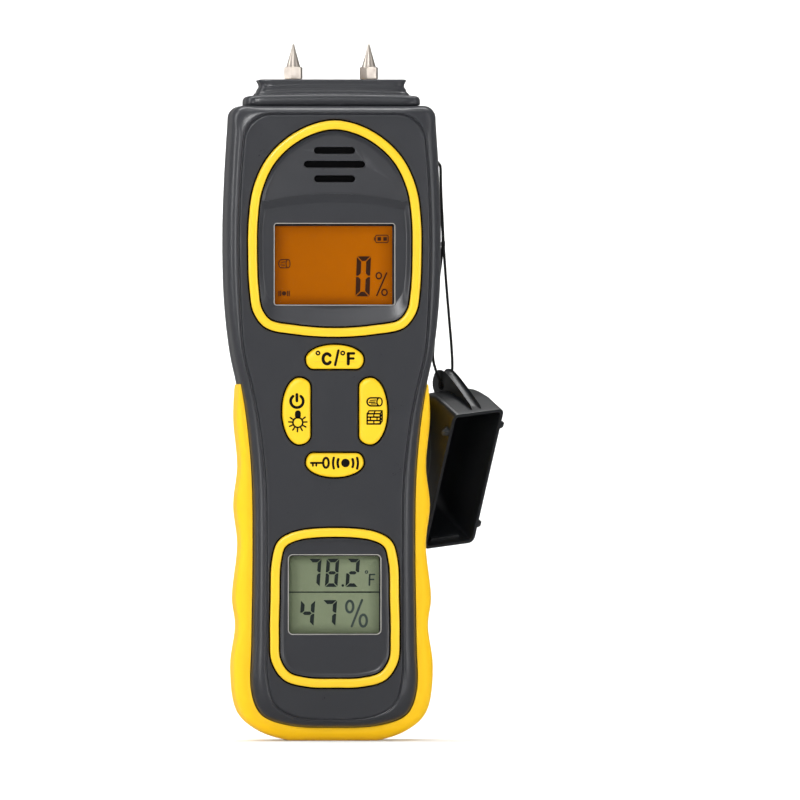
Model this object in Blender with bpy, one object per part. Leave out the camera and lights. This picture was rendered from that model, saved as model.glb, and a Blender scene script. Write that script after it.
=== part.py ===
"""Handheld moisture meter with two measuring pins and a pin cover hanging on a cord.

Lengths are in millimetres until mesh_object() and cord_object() turn them into metres.
X runs across the face, Y from the face to the back, and Z up the handle.
The origin is the middle of the flat bottom end, on which the meter stands.
"""

import math

import bmesh
import bpy
from mathutils import Matrix, Vector

MM = 0.001
GAP = 0.3  # between touching pieces

# Case depths along Y
FACE_Y = -17.0
OUTSIDE_Y = FACE_Y - 1  # where cutters of the face start
BACK_Y = 17.0
SPLIT_Y = 0.0  # plane where the two case halves meet
WALL = 2.2
FRONT_INSIDE_Y = FACE_Y + WALL
BACK_INSIDE_Y = BACK_Y - WALL
FRONT_EDGE_Y = -12.5  # where the straight side ends at the front
REAR_EDGE_Y = 9.5
TRAY_Y = -16.0

# Case heights along Z
CASE_TOP = 205.6
BLOCK_TOP = 214.6
PIN_TIP = 226.5
GRIP_TOP = 115.5

# Right-hand outlines as (half width, height) from the bottom middle upwards
HOUSING_SIDE = [
    (0, 4.2), (14.5, 4.9), (23.6, 8.3), (26.9, 15.5), (26.9, 32), (26.5, 60), (26.8, 85),
    (28.3, 102.7), (30.2, 115), (32.5, 126), (34.4, 143), (34.9, 165), (34.1, 187), (33.2, 201.6),
]
PANEL_SIDE = [
    (0, 6.5), (12.8, 7.5), (19.8, 11.8), (22.2, 20), (22.4, 34), (22.4, 60), (22.8, 84),
    (24.8, 102.7), (27.3, 115.3), (29.8, 126), (31.0, 144), (31.4, 165), (30.7, 184), (29.9, 193.7),
]
GRIP_SIDE = [
    (0, 0), (14, 0), (24, 3.3), (30.3, 9.2), (32.5, 23.7), (30.9, 37.4), (31.9, 46.2),
    (30.2, 63.7), (31.5, 76.4), (30.2, 89), (31.5, 104.7), (31.0, 115.5),
]
HOUSING_CORNER = 4.0
PANEL_CORNER = 9.75
UPPER_RING_SIDE = [
    (0, 131.0), (13, 131.9), (22.3, 133.9), (26.3, 138.8), (27.6, 146), (28.1, 158),
    (27.9, 169), (26.5, 178.8), (22.8, 187.5), (17.4, 193.8), (9.4, 198.9), (0, 201.1),
]
LOWER_RING_SIDE = [
    (0, 17.3), (9, 17.6), (16.4, 19.8), (20.4, 25.6), (21.0, 34), (20.8, 46),
    (20.4, 58), (18.4, 64.6), (13.2, 67.7), (0, 69.0),
]
RING_WIDTH = 2.8
RING_TOP_Y = FACE_Y - 0.6
RING_FLOOR_Y = -15.7
CREST = 178.0  # height where the sunk field round the upper display meets the arch above it

# Displays
UPPER_VIEW = (19.7, 141.4, 167.6)  # half width, bottom and top of the window in the case
LOWER_VIEW = (14.9, 34.7, 60.2)
WINDOW_Y = (-14.5, -13.5)
CELL_Y = (-13.2, -11.2)
CARRIER_Y = (-10.9, -8.9)
BOARD_Y = (-8.6, -7.0)

# Keys: centre of the flat side, direction in which the dome bulges, half length, depth, flat half length
KEYS = {
    "unit": ((0, 120.6), (0, 1), 9.35, 7.8, 6.9),
    "power": ((-7.95, 106.9), (-1, 0), 10.8, 9.1, 7.8),
    "material": ((7.95, 106.9), (1, 0), 10.8, 9.1, 7.8),
    "hold": ((0, 93.3), (0, -1), 9.35, 7.8, 6.9),
}
KEY_GAP = 0.45
KEY_TOP_Y = -17.8
KEY_FLANGE_Y = (-14.4, -13.2)
KEY_FLANGE = 0.9
SWITCH_TOP_Y = -11.9

# Sound slots as (half length, height)
SLOTS = [(6.65, 191.4), (9.95, 186.9), (6.65, 182.2)]
SLOT_HEIGHT = 2.15

# Case screws as (x, z)
SCREWS = [(-24.5, 190.5), (24.5, 190.5), (-19.0, 82.0), (19.0, 82.0)]
SCREW_HEAD_R = 2.7
SCREW_SHANK_R = 1.3
SCREW_SEAT_Y = 4.0

# Pins
PIN_X = 12.3
SOCKET_R = 3.0
STUD_R = 1.45
HEX_BOTTOM = BLOCK_TOP + GAP
HEX_TOP = HEX_BOTTOM + 3.8
HEX_FLAT_R = 2.75
CONE_R = 2.2

# Battery and its door
BATTERY = (13.25, (15.0, 61.0), (-5.2, 12.3))  # half width, heights, depths
TRAY_WALL = 1.6
DOOR = (16.5, 9.8, 73.0)  # half width, bottom, top
DOOR_INSIDE_Y = 14.8
DOOR_TAB_X = 10.0

# Pinless sensor pad on the back
PAD = (20.0, 145.0, 185.0)
PAD_TOP_Y = 17.8

# Cord eye on the back right corner of the case, and the cord
EYE = Vector((34.6, 16.9, 188.5))
EYE_BEND = 2.4
CORD_R = 0.45

# Pin cover: its length runs along CAP_ALONG and its depth from the mouth along CAP_DEPTH
CAP_MOUTH = Vector((44.3, 13.0, 84.7))  # middle of the mouth
CAP_ALONG = Vector((-0.157, 0.490, -0.857)).normalized()
CAP_DEPTH = Vector((-0.461, 0.731, 0.503)).normalized()
CAP_ACROSS = CAP_ALONG.cross(CAP_DEPTH)
CAP_HOLE = Vector((0, -23.8, 20.5))  # cord hole, as across, along and depth from the mouth's middle
CAP_WALL = 1.3
FIN_HALF = 1.5
LOOP_BEND = 2.4
HOLE_R = 1.2


def finish(name, red, green, blue, roughness, metallic=0.0):
    """A plain material from a display colour."""
    linear = [((c + 0.055) / 1.055) ** 2.4 if c > 0.04 else c / 12.92 for c in (red, green, blue)]
    material = bpy.data.materials.new(name)
    material.use_nodes = True
    shader = material.node_tree.nodes["Principled BSDF"]
    shader.inputs["Base Color"].default_value = (*linear, 1)
    shader.inputs["Roughness"].default_value = roughness
    shader.inputs["Metallic"].default_value = metallic
    return material


def mesh_object(name, vertices, faces, material, origin=(0, 0, 0)):
    origin = Vector(origin)
    mesh = bpy.data.meshes.new(name)
    mesh.from_pydata([(Vector(v) - origin) * MM for v in vertices], [], faces)
    shape = bmesh.new()
    shape.from_mesh(mesh)
    bmesh.ops.recalc_face_normals(shape, faces=shape.faces)
    shape.to_mesh(mesh)
    shape.free()
    mesh.shade_smooth()
    mesh.set_sharp_from_angle(angle=math.radians(35))
    mesh.materials.append(material)
    thing = bpy.data.objects.new(name, mesh)
    thing.location = origin * MM
    bpy.context.scene.collection.objects.link(thing)
    return thing


def loft(name, loops, material, origin=(0, 0, 0)):
    """A solid through loops of equal count, closed at both ends."""
    count = len(loops[0])
    faces = [list(range(count)), list(range((len(loops) - 1) * count, len(loops) * count))]
    for row in range(len(loops) - 1):
        faces += strip(row * count, (row + 1) * count, count)
    return mesh_object(name, [p for loop in loops for p in loop], faces, material, origin)


def closed_band(name, loops, material):
    """A solid ring: the last loop joins the first."""
    count = len(loops[0])
    faces = []
    for row in range(len(loops)):
        faces += strip(row * count, (row + 1) % len(loops) * count, count)
    return mesh_object(name, [p for loop in loops for p in loop], faces, material)


def strip(first, second, count):
    """Four-sided faces between two loops of points."""
    return [
        (first + i, first + (i + 1) % count, second + (i + 1) % count, second + i) for i in range(count)
    ]


def at_y(outline, y):
    return [(x, y, z) for x, z in outline]


def slab(name, outline, y_range, material, origin=(0, 0, 0)):
    return loft(name, [at_y(outline, y) for y in y_range], material, origin)


def box(name, x_range, y_range, z_range, material, origin=(0, 0, 0)):
    (x0, x1), (z0, z1) = x_range, z_range
    return slab(name, [(x0, z0), (x1, z0), (x1, z1), (x0, z1)], y_range, material, origin)


def turned(name, profile, start, direction, sides, material):
    """A turned solid: profile gives (radius, distance along direction), and 'hex' makes a ring hexagonal."""
    direction = Vector(direction).normalized()
    across = direction.orthogonal().normalized()
    up = direction.cross(across)
    rings, vertices = [], []
    for radius, along, *shape in profile:
        ring = []
        for i in range(sides if radius else 1):
            angle = 2 * math.pi * i / sides
            reach = radius
            if shape:
                reach = radius / math.cos((angle + math.pi / 6) % (math.pi / 3) - math.pi / 6)
            spoke = across * math.cos(angle) + up * math.sin(angle)
            ring.append(len(vertices))
            vertices.append(Vector(start) + direction * along + spoke * reach)
        rings.append(ring)
    faces = []
    for lower, upper in zip(rings, rings[1:]):
        for i in range(sides):
            corners = [lower[i % len(lower)], lower[(i + 1) % len(lower)]]
            corners += [upper[(i + 1) % len(upper)], upper[i % len(upper)]]
            faces.append(list(dict.fromkeys(corners)))
    return mesh_object(name, vertices, faces, material)


def rod(name, start, end, radius, material, sides=16):
    length = (Vector(end) - Vector(start)).length
    profile = [(0, 0), (radius, 0), (radius, length), (0, length)]
    return turned(name, profile, start, Vector(end) - Vector(start), sides, material)


def boolean(target, operation, helpers):
    """One Boolean with all the helpers at once."""
    group = bpy.data.collections.new(f"{target.name}_{operation.lower()}")
    bpy.context.scene.collection.children.link(group)
    for helper in helpers:
        helper.hide_render = True
        helper.display_type = "WIRE"
        bpy.context.scene.collection.objects.unlink(helper)
        group.objects.link(helper)
    modifier = target.modifiers.new(operation.lower(), "BOOLEAN")
    modifier.operation = operation
    modifier.operand_type = "COLLECTION"
    modifier.collection = group


def cut(target, cutters):
    boolean(target, "DIFFERENCE", cutters)


def join(target, others):
    boolean(target, "UNION", others)


def smooth(points, steps, before, after):
    """Points on a smooth curve through the given ones; before and after steer its two ends."""
    knots = [Vector(p) for p in (before, *points, after)]
    found = []
    for p0, p1, p2, p3 in zip(knots, knots[1:], knots[2:], knots[3:]):
        d0, d1, d2 = (max(math.sqrt((b - a).length), 1e-6) for a, b in ((p0, p1), (p1, p2), (p2, p3)))
        leave = ((p1 - p0) / d0 - (p2 - p0) / (d0 + d1) + (p2 - p1) / d1) * d1
        arrive = ((p2 - p1) / d1 - (p3 - p1) / (d1 + d2) + (p3 - p2) / d2) * d1
        for step in range(steps):
            t = step / steps
            spline = p1 * (2 * t**3 - 3 * t**2 + 1) + leave * (t**3 - 2 * t**2 + t)
            found.append(spline + p2 * (3 * t**2 - 2 * t**3) + arrive * (t**3 - t**2))
    return found + [knots[-2]]


def side_curve(side, steps, after=None):
    """A smooth right-hand side that starts level at the middle, and ends level there or towards after."""
    first, last = side[1], side[-2]
    return [tuple(p) for p in smooth(side, steps, (-first[0], first[1]), after or (-last[0], last[1]))]


def mirrored(side):
    """A closed outline from its right-hand side; points on the middle line stay single."""
    return side + [(-x, z) for x, z in reversed(side) if x > 1e-6]


def cornered_outline(side, corner, top):
    """A mirrored outline whose side runs into a round corner under a level top."""
    x, z = side[-1]
    curve = side_curve(side, 2, after=(x, z + 1))
    centre = (x - corner, top - corner)
    turns = [math.pi / 2 * i / 4 for i in range(5)]
    arc = [(centre[0] + corner * math.cos(a), centre[1] + corner * math.sin(a)) for a in turns]
    return mirrored(curve[:-1] + arc + [(0, top)])


def offset(outline, distance):
    """The outline moved outwards by distance, or inwards where it is negative."""
    moved = []
    for (ax, az), (bx, bz), (cx, cz) in zip(outline[-1:] + outline[:-1], outline, outline[1:] + outline[:1]):
        first = Vector((bz - az, ax - bx)).normalized()
        second = Vector((cz - bz, bx - cx)).normalized()
        middle = (first + second).normalized()
        reach = distance / max(middle.dot(first), 0.5)
        moved.append((bx + middle.x * reach, bz + middle.y * reach))
    return moved


def between(outline, other, share):
    return [(a + (c - a) * share, b + (d - b) * share) for (a, b), (c, d) in zip(outline, other)]


def rounded_rectangle(half_x, half_y, corner, steps=3):
    points = []
    for quarter, (sx, sy) in enumerate([(1, 1), (-1, 1), (-1, -1), (1, -1)]):
        for i in range(steps + 1):
            angle = math.pi / 2 * (quarter + i / steps)
            x = sx * (half_x - corner) + corner * math.cos(angle)
            points.append((x, sy * (half_y - corner) + corner * math.sin(angle)))
    return points


def key_outline(key, grow=0.0):
    """A flat side with round corners under a half ellipse."""
    (x, z), (dx, dz), half, depth, flat = KEYS[key]
    shoulder = depth * 0.4
    points = []
    for i in range(5):
        angle = -math.pi / 2 + math.pi / 2 * i / 4
        points.append((flat + (half - flat) * math.cos(angle), shoulder + shoulder * math.sin(angle)))
    for i in range(1, 6):
        angle = math.pi / 2 * i / 5
        points.append((half * math.cos(angle), shoulder + (depth - shoulder) * math.sin(angle)))
    points = points[:-1] + [(0, depth)] + [(-u, v) for u, v in reversed(points[:-1])]
    outline = [(x + dz * u + dx * v, z - dx * u + dz * v) for u, v in points]
    return offset(outline, grow) if grow else outline


def front_cover(plastic):
    inner_housing = offset(HOUSING, -WALL)
    shell = loft(
        "front_cover",
        [
            at_y(offset(PANEL, -1.2), FRONT_INSIDE_Y),
            at_y(inner_housing, FRONT_EDGE_Y + 1),
            at_y(inner_housing, SPLIT_Y - GAP / 2),
            at_y(HOUSING, SPLIT_Y - GAP / 2),
            at_y(HOUSING, FRONT_EDGE_Y),
            at_y(between(HOUSING, PANEL, 0.26), FRONT_EDGE_Y - 2.4),
            at_y(PANEL, FACE_Y),
        ],
        plastic,
    )
    bosses, cutters = [], tray_cutters(plastic)
    for x, z in SCREWS:
        bosses.append(rod(f"front_boss_{x}_{z}", (x, FRONT_INSIDE_Y - 0.6, z), (x, -0.5, z), 3.0, plastic))
        cutters.append(rod(f"pilot_{x}_{z}", (x, -10, z), (x, 1, z), SCREW_SHANK_R + GAP, plastic))
    for name, ring in (("upper", UPPER_RING), ("lower", LOWER_RING)):
        wide, narrow = offset(ring, GAP), offset(ring, -RING_WIDTH - GAP)
        loops = [at_y(wide, OUTSIDE_Y), at_y(wide, RING_FLOOR_Y)]
        loops += [at_y(narrow, RING_FLOOR_Y), at_y(narrow, OUTSIDE_Y)]
        cutters.append(closed_band(f"{name}_groove", loops, plastic))
    recess = offset(LOWER_RING, -RING_WIDTH - 0.9)
    cutters.append(slab("lower_recess", recess, (OUTSIDE_Y, FACE_Y + 0.5), plastic))
    through = (OUTSIDE_Y, FRONT_INSIDE_Y + 1)
    for name, (half, low, high) in (("upper", UPPER_VIEW), ("lower", LOWER_VIEW)):
        cutters.append(box(f"{name}_view", (-half, half), through, (low, high), plastic))
    for half, z in SLOTS:
        radius = SLOT_HEIGHT / 2
        ends = [math.pi / 2 * (i / 2 - 1) for i in range(5)]
        right = [(half - radius + radius * math.cos(a), z + radius * math.sin(a)) for a in ends]
        cutters.append(slab(f"slot_{z}", right + [(-x, h) for x, h in reversed(right)], through, plastic))
    for key in KEYS:
        cutters.append(slab(f"{key}_hole", key_outline(key, KEY_GAP), through, plastic))
    cutters.append(block_opening("front_block_opening", plastic))
    join(shell, bosses)
    cut(shell, cutters)


def tray_cutters(plastic):
    """The sunk field round the upper display, and the arch above it, whose floor rises towards the top."""
    rim = offset(UPPER_RING, -RING_WIDTH - 0.9)
    foot = rim[0][1]
    half = max(x for x, z in rim if abs(z - CREST) < 6)
    right = [(x, z) for x, z in rim if x >= 0 and z < CREST] + [(half, CREST)]
    field = mirrored(right)
    lift = (CREST - UPPER_VIEW[1] + 0.4) / (CREST - foot)
    floor = [(x * 0.94, CREST - (CREST - z) * lift) for x, z in field]
    tray = loft("tray", [at_y(field, OUTSIDE_Y), at_y(field, FACE_Y), at_y(floor, TRAY_Y)], plastic)
    arch = [(half, CREST - 0.5)] + [(x, z) for x, z in rim if z > CREST] + [(-half, CREST - 0.5)]
    deep = [(x, -16.6 + (z - CREST) * 0.055, z) for x, z in arch]
    return [tray, loft("arch", [at_y(arch, OUTSIDE_Y), deep], plastic)]


def block_opening(name, plastic):
    """The hole in the top wall for the neck of the pin block."""
    return box(name, (-25.3, 25.3), (-9.3, 9.3), (CASE_TOP - 4, CASE_TOP + 1), plastic)


def rear_cover(plastic):
    inner_housing = offset(HOUSING, -WALL)
    inner_back = offset(PANEL, -1.2)
    shell = loft(
        "rear_cover",
        [
            at_y(inner_back, BACK_INSIDE_Y),
            at_y(between(inner_housing, inner_back, 0.35), 11.6),
            at_y(inner_housing, REAR_EDGE_Y - 0.8),
            at_y(inner_housing, SPLIT_Y + GAP / 2),
            at_y(HOUSING, SPLIT_Y + GAP / 2),
            at_y(HOUSING, REAR_EDGE_Y),
            at_y(between(HOUSING, PANEL, 0.35), 13.2),
            at_y(PANEL, BACK_Y),
        ],
        plastic,
    )
    half, low, high = DOOR
    opening = (BACK_Y - 2.6, BACK_Y + 1)
    lug = [(32, 8), (33.9, 8), (35.9, 14.4), (35.9, 19.4), (33.3, 19.4), (33.3, 15.5), (31.5, 13)]
    lug_ends = [[(x, y, EYE.z + end) for x, y in lug] for end in (-3, 3)]
    additions = [
        box("battery_tray", (-15.5, 15.5), (-6.7, 14.4), (12.0, 72.8), plastic),
        box("door_frame", (-18, 18), (13.0, 15.5), (low - 1.6, high + 1.6), plastic),
        loft("cord_lug", lug_ends, plastic),
    ]
    cutters = [
        box("battery_space", (-13.9, 13.9), (-5.6, 16), (13.6, 71.2), plastic),
        box("door_space", (-half - GAP, half + GAP), opening, (low - GAP, high + GAP), plastic),
        box("lead_slot", (-6, 6), (-4, 2), (70, 74), plastic),
        block_opening("rear_block_opening", plastic),
        rod("cord_eye", EYE - Vector((3, 0, 0)), EYE + Vector((3, 0, 0)), HOLE_R, plastic),
    ]
    for x in (-DOOR_TAB_X, DOOR_TAB_X):
        cutters.append(box(f"tab_notch_{x}", (x - 2.8, x + 2.8), (12.4, 15.5), (low - 1.2, 14), plastic))
    for x, z in SCREWS:
        seat, back = (x, SCREW_SEAT_Y, z), (x, BACK_Y + 1, z)
        additions.append(rod(f"screw_tube_{x}_{z}", (x, 0.5, z), (x, BACK_INSIDE_Y + 0.8, z), 4.4, plastic))
        cutters.append(rod(f"counterbore_{x}_{z}", seat, back, SCREW_HEAD_R + GAP, plastic))
        cutters.append(rod(f"clearance_{x}_{z}", (x, -1, z), (x, 6, z), SCREW_SHANK_R + 0.4, plastic))
    half, low, high = PAD
    pad_hole = offset(rectangle(PAD), GAP)
    cutters.append(slab("pad_hole", pad_hole, (BACK_INSIDE_Y - 1, BACK_Y + 1), plastic))
    join(shell, additions)
    cut(shell, cutters)


def trim_ring(name, ring, yellow):
    inner = offset(ring, -RING_WIDTH)
    bottom = RING_FLOOR_Y - GAP
    shoulder = RING_TOP_Y + 0.4
    return closed_band(
        name,
        [
            at_y(ring, bottom),
            at_y(ring, shoulder),
            at_y(offset(ring, -0.5), RING_TOP_Y),
            at_y(offset(inner, 0.5), RING_TOP_Y),
            at_y(inner, shoulder),
            at_y(inner, bottom),
        ],
        yellow,
    )


def nearest(outline, point):
    """The nearest point on a closed outline."""
    best, shortest = None, math.inf
    point = Vector(point)
    for a, b in zip(outline, outline[1:] + outline[:1]):
        a, b = Vector(a), Vector(b)
        share = max(0.0, min(1.0, (point - a).dot(b - a) / (b - a).length_squared))
        found = a + (b - a) * share
        if (found - point).length < shortest:
            best, shortest = found, (found - point).length
    return best


def grip_overmould(yellow):
    """A soft wrap over the sides and the bottom of the handle, open where the case fills it."""
    curve = smooth(GRIP_SIDE[1:], 2, GRIP_SIDE[0], (GRIP_SIDE[-1][0], GRIP_TOP + 5))
    outer = [GRIP_SIDE[0]] + [(x, max(z, 0)) for x, z in curve]
    outer = outer + [(-x, z) for x, z in reversed(outer[1:])]
    base = [nearest(HOUSING, p) for p in outer]

    def loop(y, share):
        """A loop from the case wall, share 0, to the full outline, share 1."""
        points = []
        for wall, (x, z) in zip(base, outer):
            full = Vector((x, z))
            lip = wall + (full - wall).normalized() * min(0.9, (full - wall).length)
            point = lip.lerp(full, share)
            points.append((point.x, y, point.y))
        return points

    wrap = loft(
        "grip_overmould",
        [loop(-13.2, 0), loop(-12.4, 0.6), loop(-10.5, 1), loop(7.5, 1), loop(9.4, 0.6), loop(10.2, 0)],
        yellow,
    )
    cut(wrap, [slab("case_core", offset(HOUSING, GAP), (-20, 20), yellow)])


def pin_block(plastic):
    """Stepped head piece: a flange inside the case, a neck, and two steps outside."""
    steps = [
        (26.5, 10.2, 1.5, 199.2), (26.5, 10.2, 1.5, 202.8), (25.0, 9.0, 1.5, 202.8),
        (25.0, 9.0, 1.5, CASE_TOP + GAP), (28.4, 12.6, 3.6, CASE_TOP + GAP), (28.4, 12.6, 3.6, 208.4),
        (27.4, 11.6, 3.4, 209.6), (24.8, 9.0, 2.6, 209.9), (23.7, 8.2, 2.4, 212.0),
        (24.05, 8.5, 2.4, 214.0), (23.6, 8.1, 2.2, BLOCK_TOP),
    ]
    loops = []
    for half_x, half_y, corner, z in steps:
        loops.append([(x, y, z) for x, y in rounded_rectangle(half_x, half_y, corner)])
    block = loft("pin_block", loops, plastic)
    bores = []
    for x in (-PIN_X, PIN_X):
        bores.append(rod(f"socket_bore_{x}", (x, 0, 198), (x, 0, 216), SOCKET_R + GAP, plastic, 20))
    cut(block, bores)


def pins_and_sockets(brass, steel):
    foot = BLOCK_TOP - 12
    for name, x in (("left", -PIN_X), ("right", PIN_X)):
        bore_r = STUD_R + 0.35
        profile = [(0, 0), (SOCKET_R, 0), (SOCKET_R, 11.9), (bore_r, 11.9), (bore_r, 3.6), (0, 3.6)]
        turned(f"{name}_pin_socket", profile, (x, 0, foot), (0, 0, 1), 20, brass)
        stud = 207.6
        profile = [
            (0, 0), (STUD_R - 0.3, 0), (STUD_R, 0.4), (STUD_R, HEX_BOTTOM - stud),
            (2.5, HEX_BOTTOM - stud), (HEX_FLAT_R, HEX_BOTTOM - stud + 0.2, "hex"),
            (HEX_FLAT_R, HEX_TOP - stud - 0.3, "hex"), (2.5, HEX_TOP - stud),
            (CONE_R, HEX_TOP - stud), (1.6, HEX_TOP - stud + 2.4), (0.25, PIN_TIP - stud - 0.25),
            (0, PIN_TIP - stud),
        ]
        turned(f"{name}_pin", profile, (x, 0, stud), (0, 0, 1), 24, steel)


def displays(clear, cell_glass, light_guide, carrier, zebra):
    half, low, high = UPPER_VIEW
    slab("upper_display_window", offset(rectangle(UPPER_VIEW), 1.8), WINDOW_Y, clear)
    slab("upper_lcd", offset(rectangle(UPPER_VIEW), 2.4), CELL_Y, cell_glass)
    box("upper_backlight", (-half, half), CARRIER_Y, (low + 0.6, high + 1.6), light_guide)
    box("upper_zebra_strip", (-half, half), CARRIER_Y, (low - 2.0, low + 0.2), zebra)
    half, low, high = LOWER_VIEW
    slab("lower_display_window", offset(rectangle(LOWER_VIEW), 1.6), WINDOW_Y, clear)
    slab("lower_lcd", offset(rectangle(LOWER_VIEW), 2.1), CELL_Y, cell_glass)
    box("lower_lcd_spacer", (-half, half), CARRIER_Y, (low + 0.6, high + 1.6), carrier)
    box("lower_zebra_strip", (-half, half), CARRIER_Y, (low - 1.8, low + 0.2), zebra)


def rectangle(view):
    half, low, high = view
    return [(-half, low), (half, low), (half, high), (-half, high)]


def keys_and_switches(yellow, black):
    for key in KEYS:
        outline = key_outline(key)
        flange = key_outline(key, KEY_FLANGE)
        (x, z), (dx, dz), _, depth, _ = KEYS[key]
        centre = (x + dx * depth / 2, z + dz * depth / 2)
        loops = [
            at_y(offset(outline, -0.9), KEY_TOP_Y),
            at_y(offset(outline, -0.25), KEY_TOP_Y + 0.35),
            at_y(outline, KEY_TOP_Y + 0.9),
            at_y(outline, KEY_FLANGE_Y[0]),
            at_y(flange, KEY_FLANGE_Y[0]),
            at_y(flange, KEY_FLANGE_Y[1]),
        ]
        loft(f"{key}_key", loops, yellow, (centre[0], KEY_TOP_Y, centre[1]))
        body_top = SWITCH_TOP_Y + 0.7
        x, z = centre
        spans = (x - 3, x + 3), (body_top, BOARD_Y[0] - GAP), (z - 3, z + 3)
        switch = box(f"{key}_switch", *spans, black)
        join(switch, [rod(f"{key}_stem", (x, SWITCH_TOP_Y, z), (x, body_top + 1, z), 1.6, black)])


def electronics(green, black, white, silver, copper):
    right = [
        (0, 28), (17.4, 28), (17.4, 72), (15.4, 74), (15.4, 112), (17.4, 114), (20, 124),
        (28, 134), (29, 140), (29, 182), (27, 184.5), (20, 186), (20, 196), (0, 196),
    ]
    slab("main_board", mirrored(right), BOARD_Y, green)
    board_side = BOARD_Y[0] - GAP
    sounder = [(0, 0), (6.4, 0), (6.4, 4.8), (5.6, 5.2), (0, 5.2)]
    turned("buzzer", sounder, (7.2, board_side, 188.6), (0, -1, 0), 20, black)
    box("humidity_sensor", (-12.4, -7.6), (board_side - 1.8, board_side), (186, 191), white)
    edge = rectangle(PAD)
    flange = offset(edge, 1.8)
    loops = [
        at_y(flange, 12.8), at_y(flange, 14.5), at_y(edge, 14.5), at_y(edge, PAD_TOP_Y - 0.5),
        at_y(offset(edge, -0.8), PAD_TOP_Y),
    ]
    loft("sensor_pad", loops, black)
    slab("sensor_electrode", offset(edge, -2), (11.9, 12.5), copper)


def battery_and_door(plastic, can, black, foam):
    half, (low, high), depths = BATTERY
    battery = box("battery", (-half, half), depths, (low, high), can)
    terminals = []
    for x, radius in ((-6.4, 2.9), (6.4, 4.2)):
        terminals.append(rod(f"terminal_{x}", (x, 3.5, high - 0.6), (x, 3.5, high + 2.2), radius, can))
    join(battery, terminals)
    box("battery_snap", (2 - half, half - 2), (-4.2, 11.2), (high + 2.5, high + 6.5), black)
    half, low, high = DOOR
    hinge = (0, BACK_Y, low)
    door = box("battery_door", (-half, half), (DOOR_INSIDE_Y, BACK_Y), (low, high), plastic, hinge)
    tabs = []
    for x in (-DOOR_TAB_X, DOOR_TAB_X):
        tabs.append(box(f"tab_{x}", (x - 2.4, x + 2.4), (13.2, 15.2), (low - 0.8, low + 1.4), plastic))
    join(door, tabs)
    finger = [(-6, high - 5), (6, high - 5), (6, high - 2.6), (-6, high - 2.6)]
    cut(door, [slab("finger_groove", finger, (BACK_Y - 0.9, BACK_Y + 1), plastic)])
    box("door_foam_pad", (-10, 10), (12.7, DOOR_INSIDE_Y - GAP), (24, 56), foam, hinge)


def case_screws(steel):
    foot = -8.6
    head = SCREW_SEAT_Y + GAP - foot
    for number, (x, z) in enumerate(SCREWS, start=1):
        profile = [
            (0, 0), (0.7, 0), (SCREW_SHANK_R, 1.2), (SCREW_SHANK_R, head), (SCREW_HEAD_R, head),
            (SCREW_HEAD_R, head + 1.2), (SCREW_HEAD_R - 0.7, head + 2.0), (0, head + 2.0),
        ]
        screw = turned(f"case_screw_{number}", profile, (x, foot, z), (0, 1, 0), 16, steel)
        top = foot + head + 2.0
        drive = []
        for turn, (wide, tall) in enumerate([(1.5, 0.35), (0.35, 1.5)]):
            spans = (x - wide, x + wide), (top - 1.1, top + 1), (z - tall, z + tall)
            drive.append(box(f"drive_{number}_{turn}", *spans, steel))
        cut(screw, drive)


def cord_object(name, points, radius, material, origin=(0, 0, 0)):
    """A round tube along the points, with closed ends."""
    curve = bpy.data.curves.new(name, "CURVE")
    curve.dimensions = "3D"
    curve.bevel_depth = radius * MM
    curve.bevel_resolution = 2
    curve.use_fill_caps = True
    spline = curve.splines.new("POLY")
    spline.points.add(len(points) - 1)
    for place, point in zip(spline.points, points):
        place.co = (*((Vector(point) - Vector(origin)) * MM), 1)
    curve.materials.append(material)
    thing = bpy.data.objects.new(name, curve)
    thing.location = Vector(origin) * MM
    bpy.context.scene.collection.objects.link(thing)
    return thing


def inner_lead(name, route, material):
    """A hook-up wire: straight out of its first joint and straight into its last."""
    before = Vector(route[0]) * 2 - Vector(route[1])
    after = Vector(route[-1]) * 2 - Vector(route[-2])
    cord_object(name, smooth(route, 2, before, after), 0.6, material)


def leads(red, black, white):
    board = BOARD_Y[1] + GAP
    for name, x, colour in (("red_battery_lead", 3, red), ("black_battery_lead", -3, black)):
        top = BATTERY[1][1] + 6.5 + GAP
        inner_lead(name, [(x, -1, top), (x, -1, 71), (x, -1.6, 74.5), (x, -4, 77), (x, board, 77.6)], colour)
    for name, x in (("left_pin_lead", -PIN_X), ("right_pin_lead", PIN_X)):
        foot = BLOCK_TOP - 12 - GAP
        route = [(x, 0, foot), (x, 0, 196), (x, -0.8, 192.5), (x, -3.6, 190.2), (x, board, 189.8)]
        inner_lead(name, route, white)
    route = [(0, 11.6, 165), (0, 8, 165), (0, 3, 163), (0, -2, 161), (0, board, 161)]
    inner_lead("sensor_lead", route, white)


def cap_place(across, along, depth):
    """World position of a point given in the pin cover's own directions, from the mouth's middle."""
    return CAP_MOUTH + CAP_ACROSS * across + CAP_ALONG * along + CAP_DEPTH * depth


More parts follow.
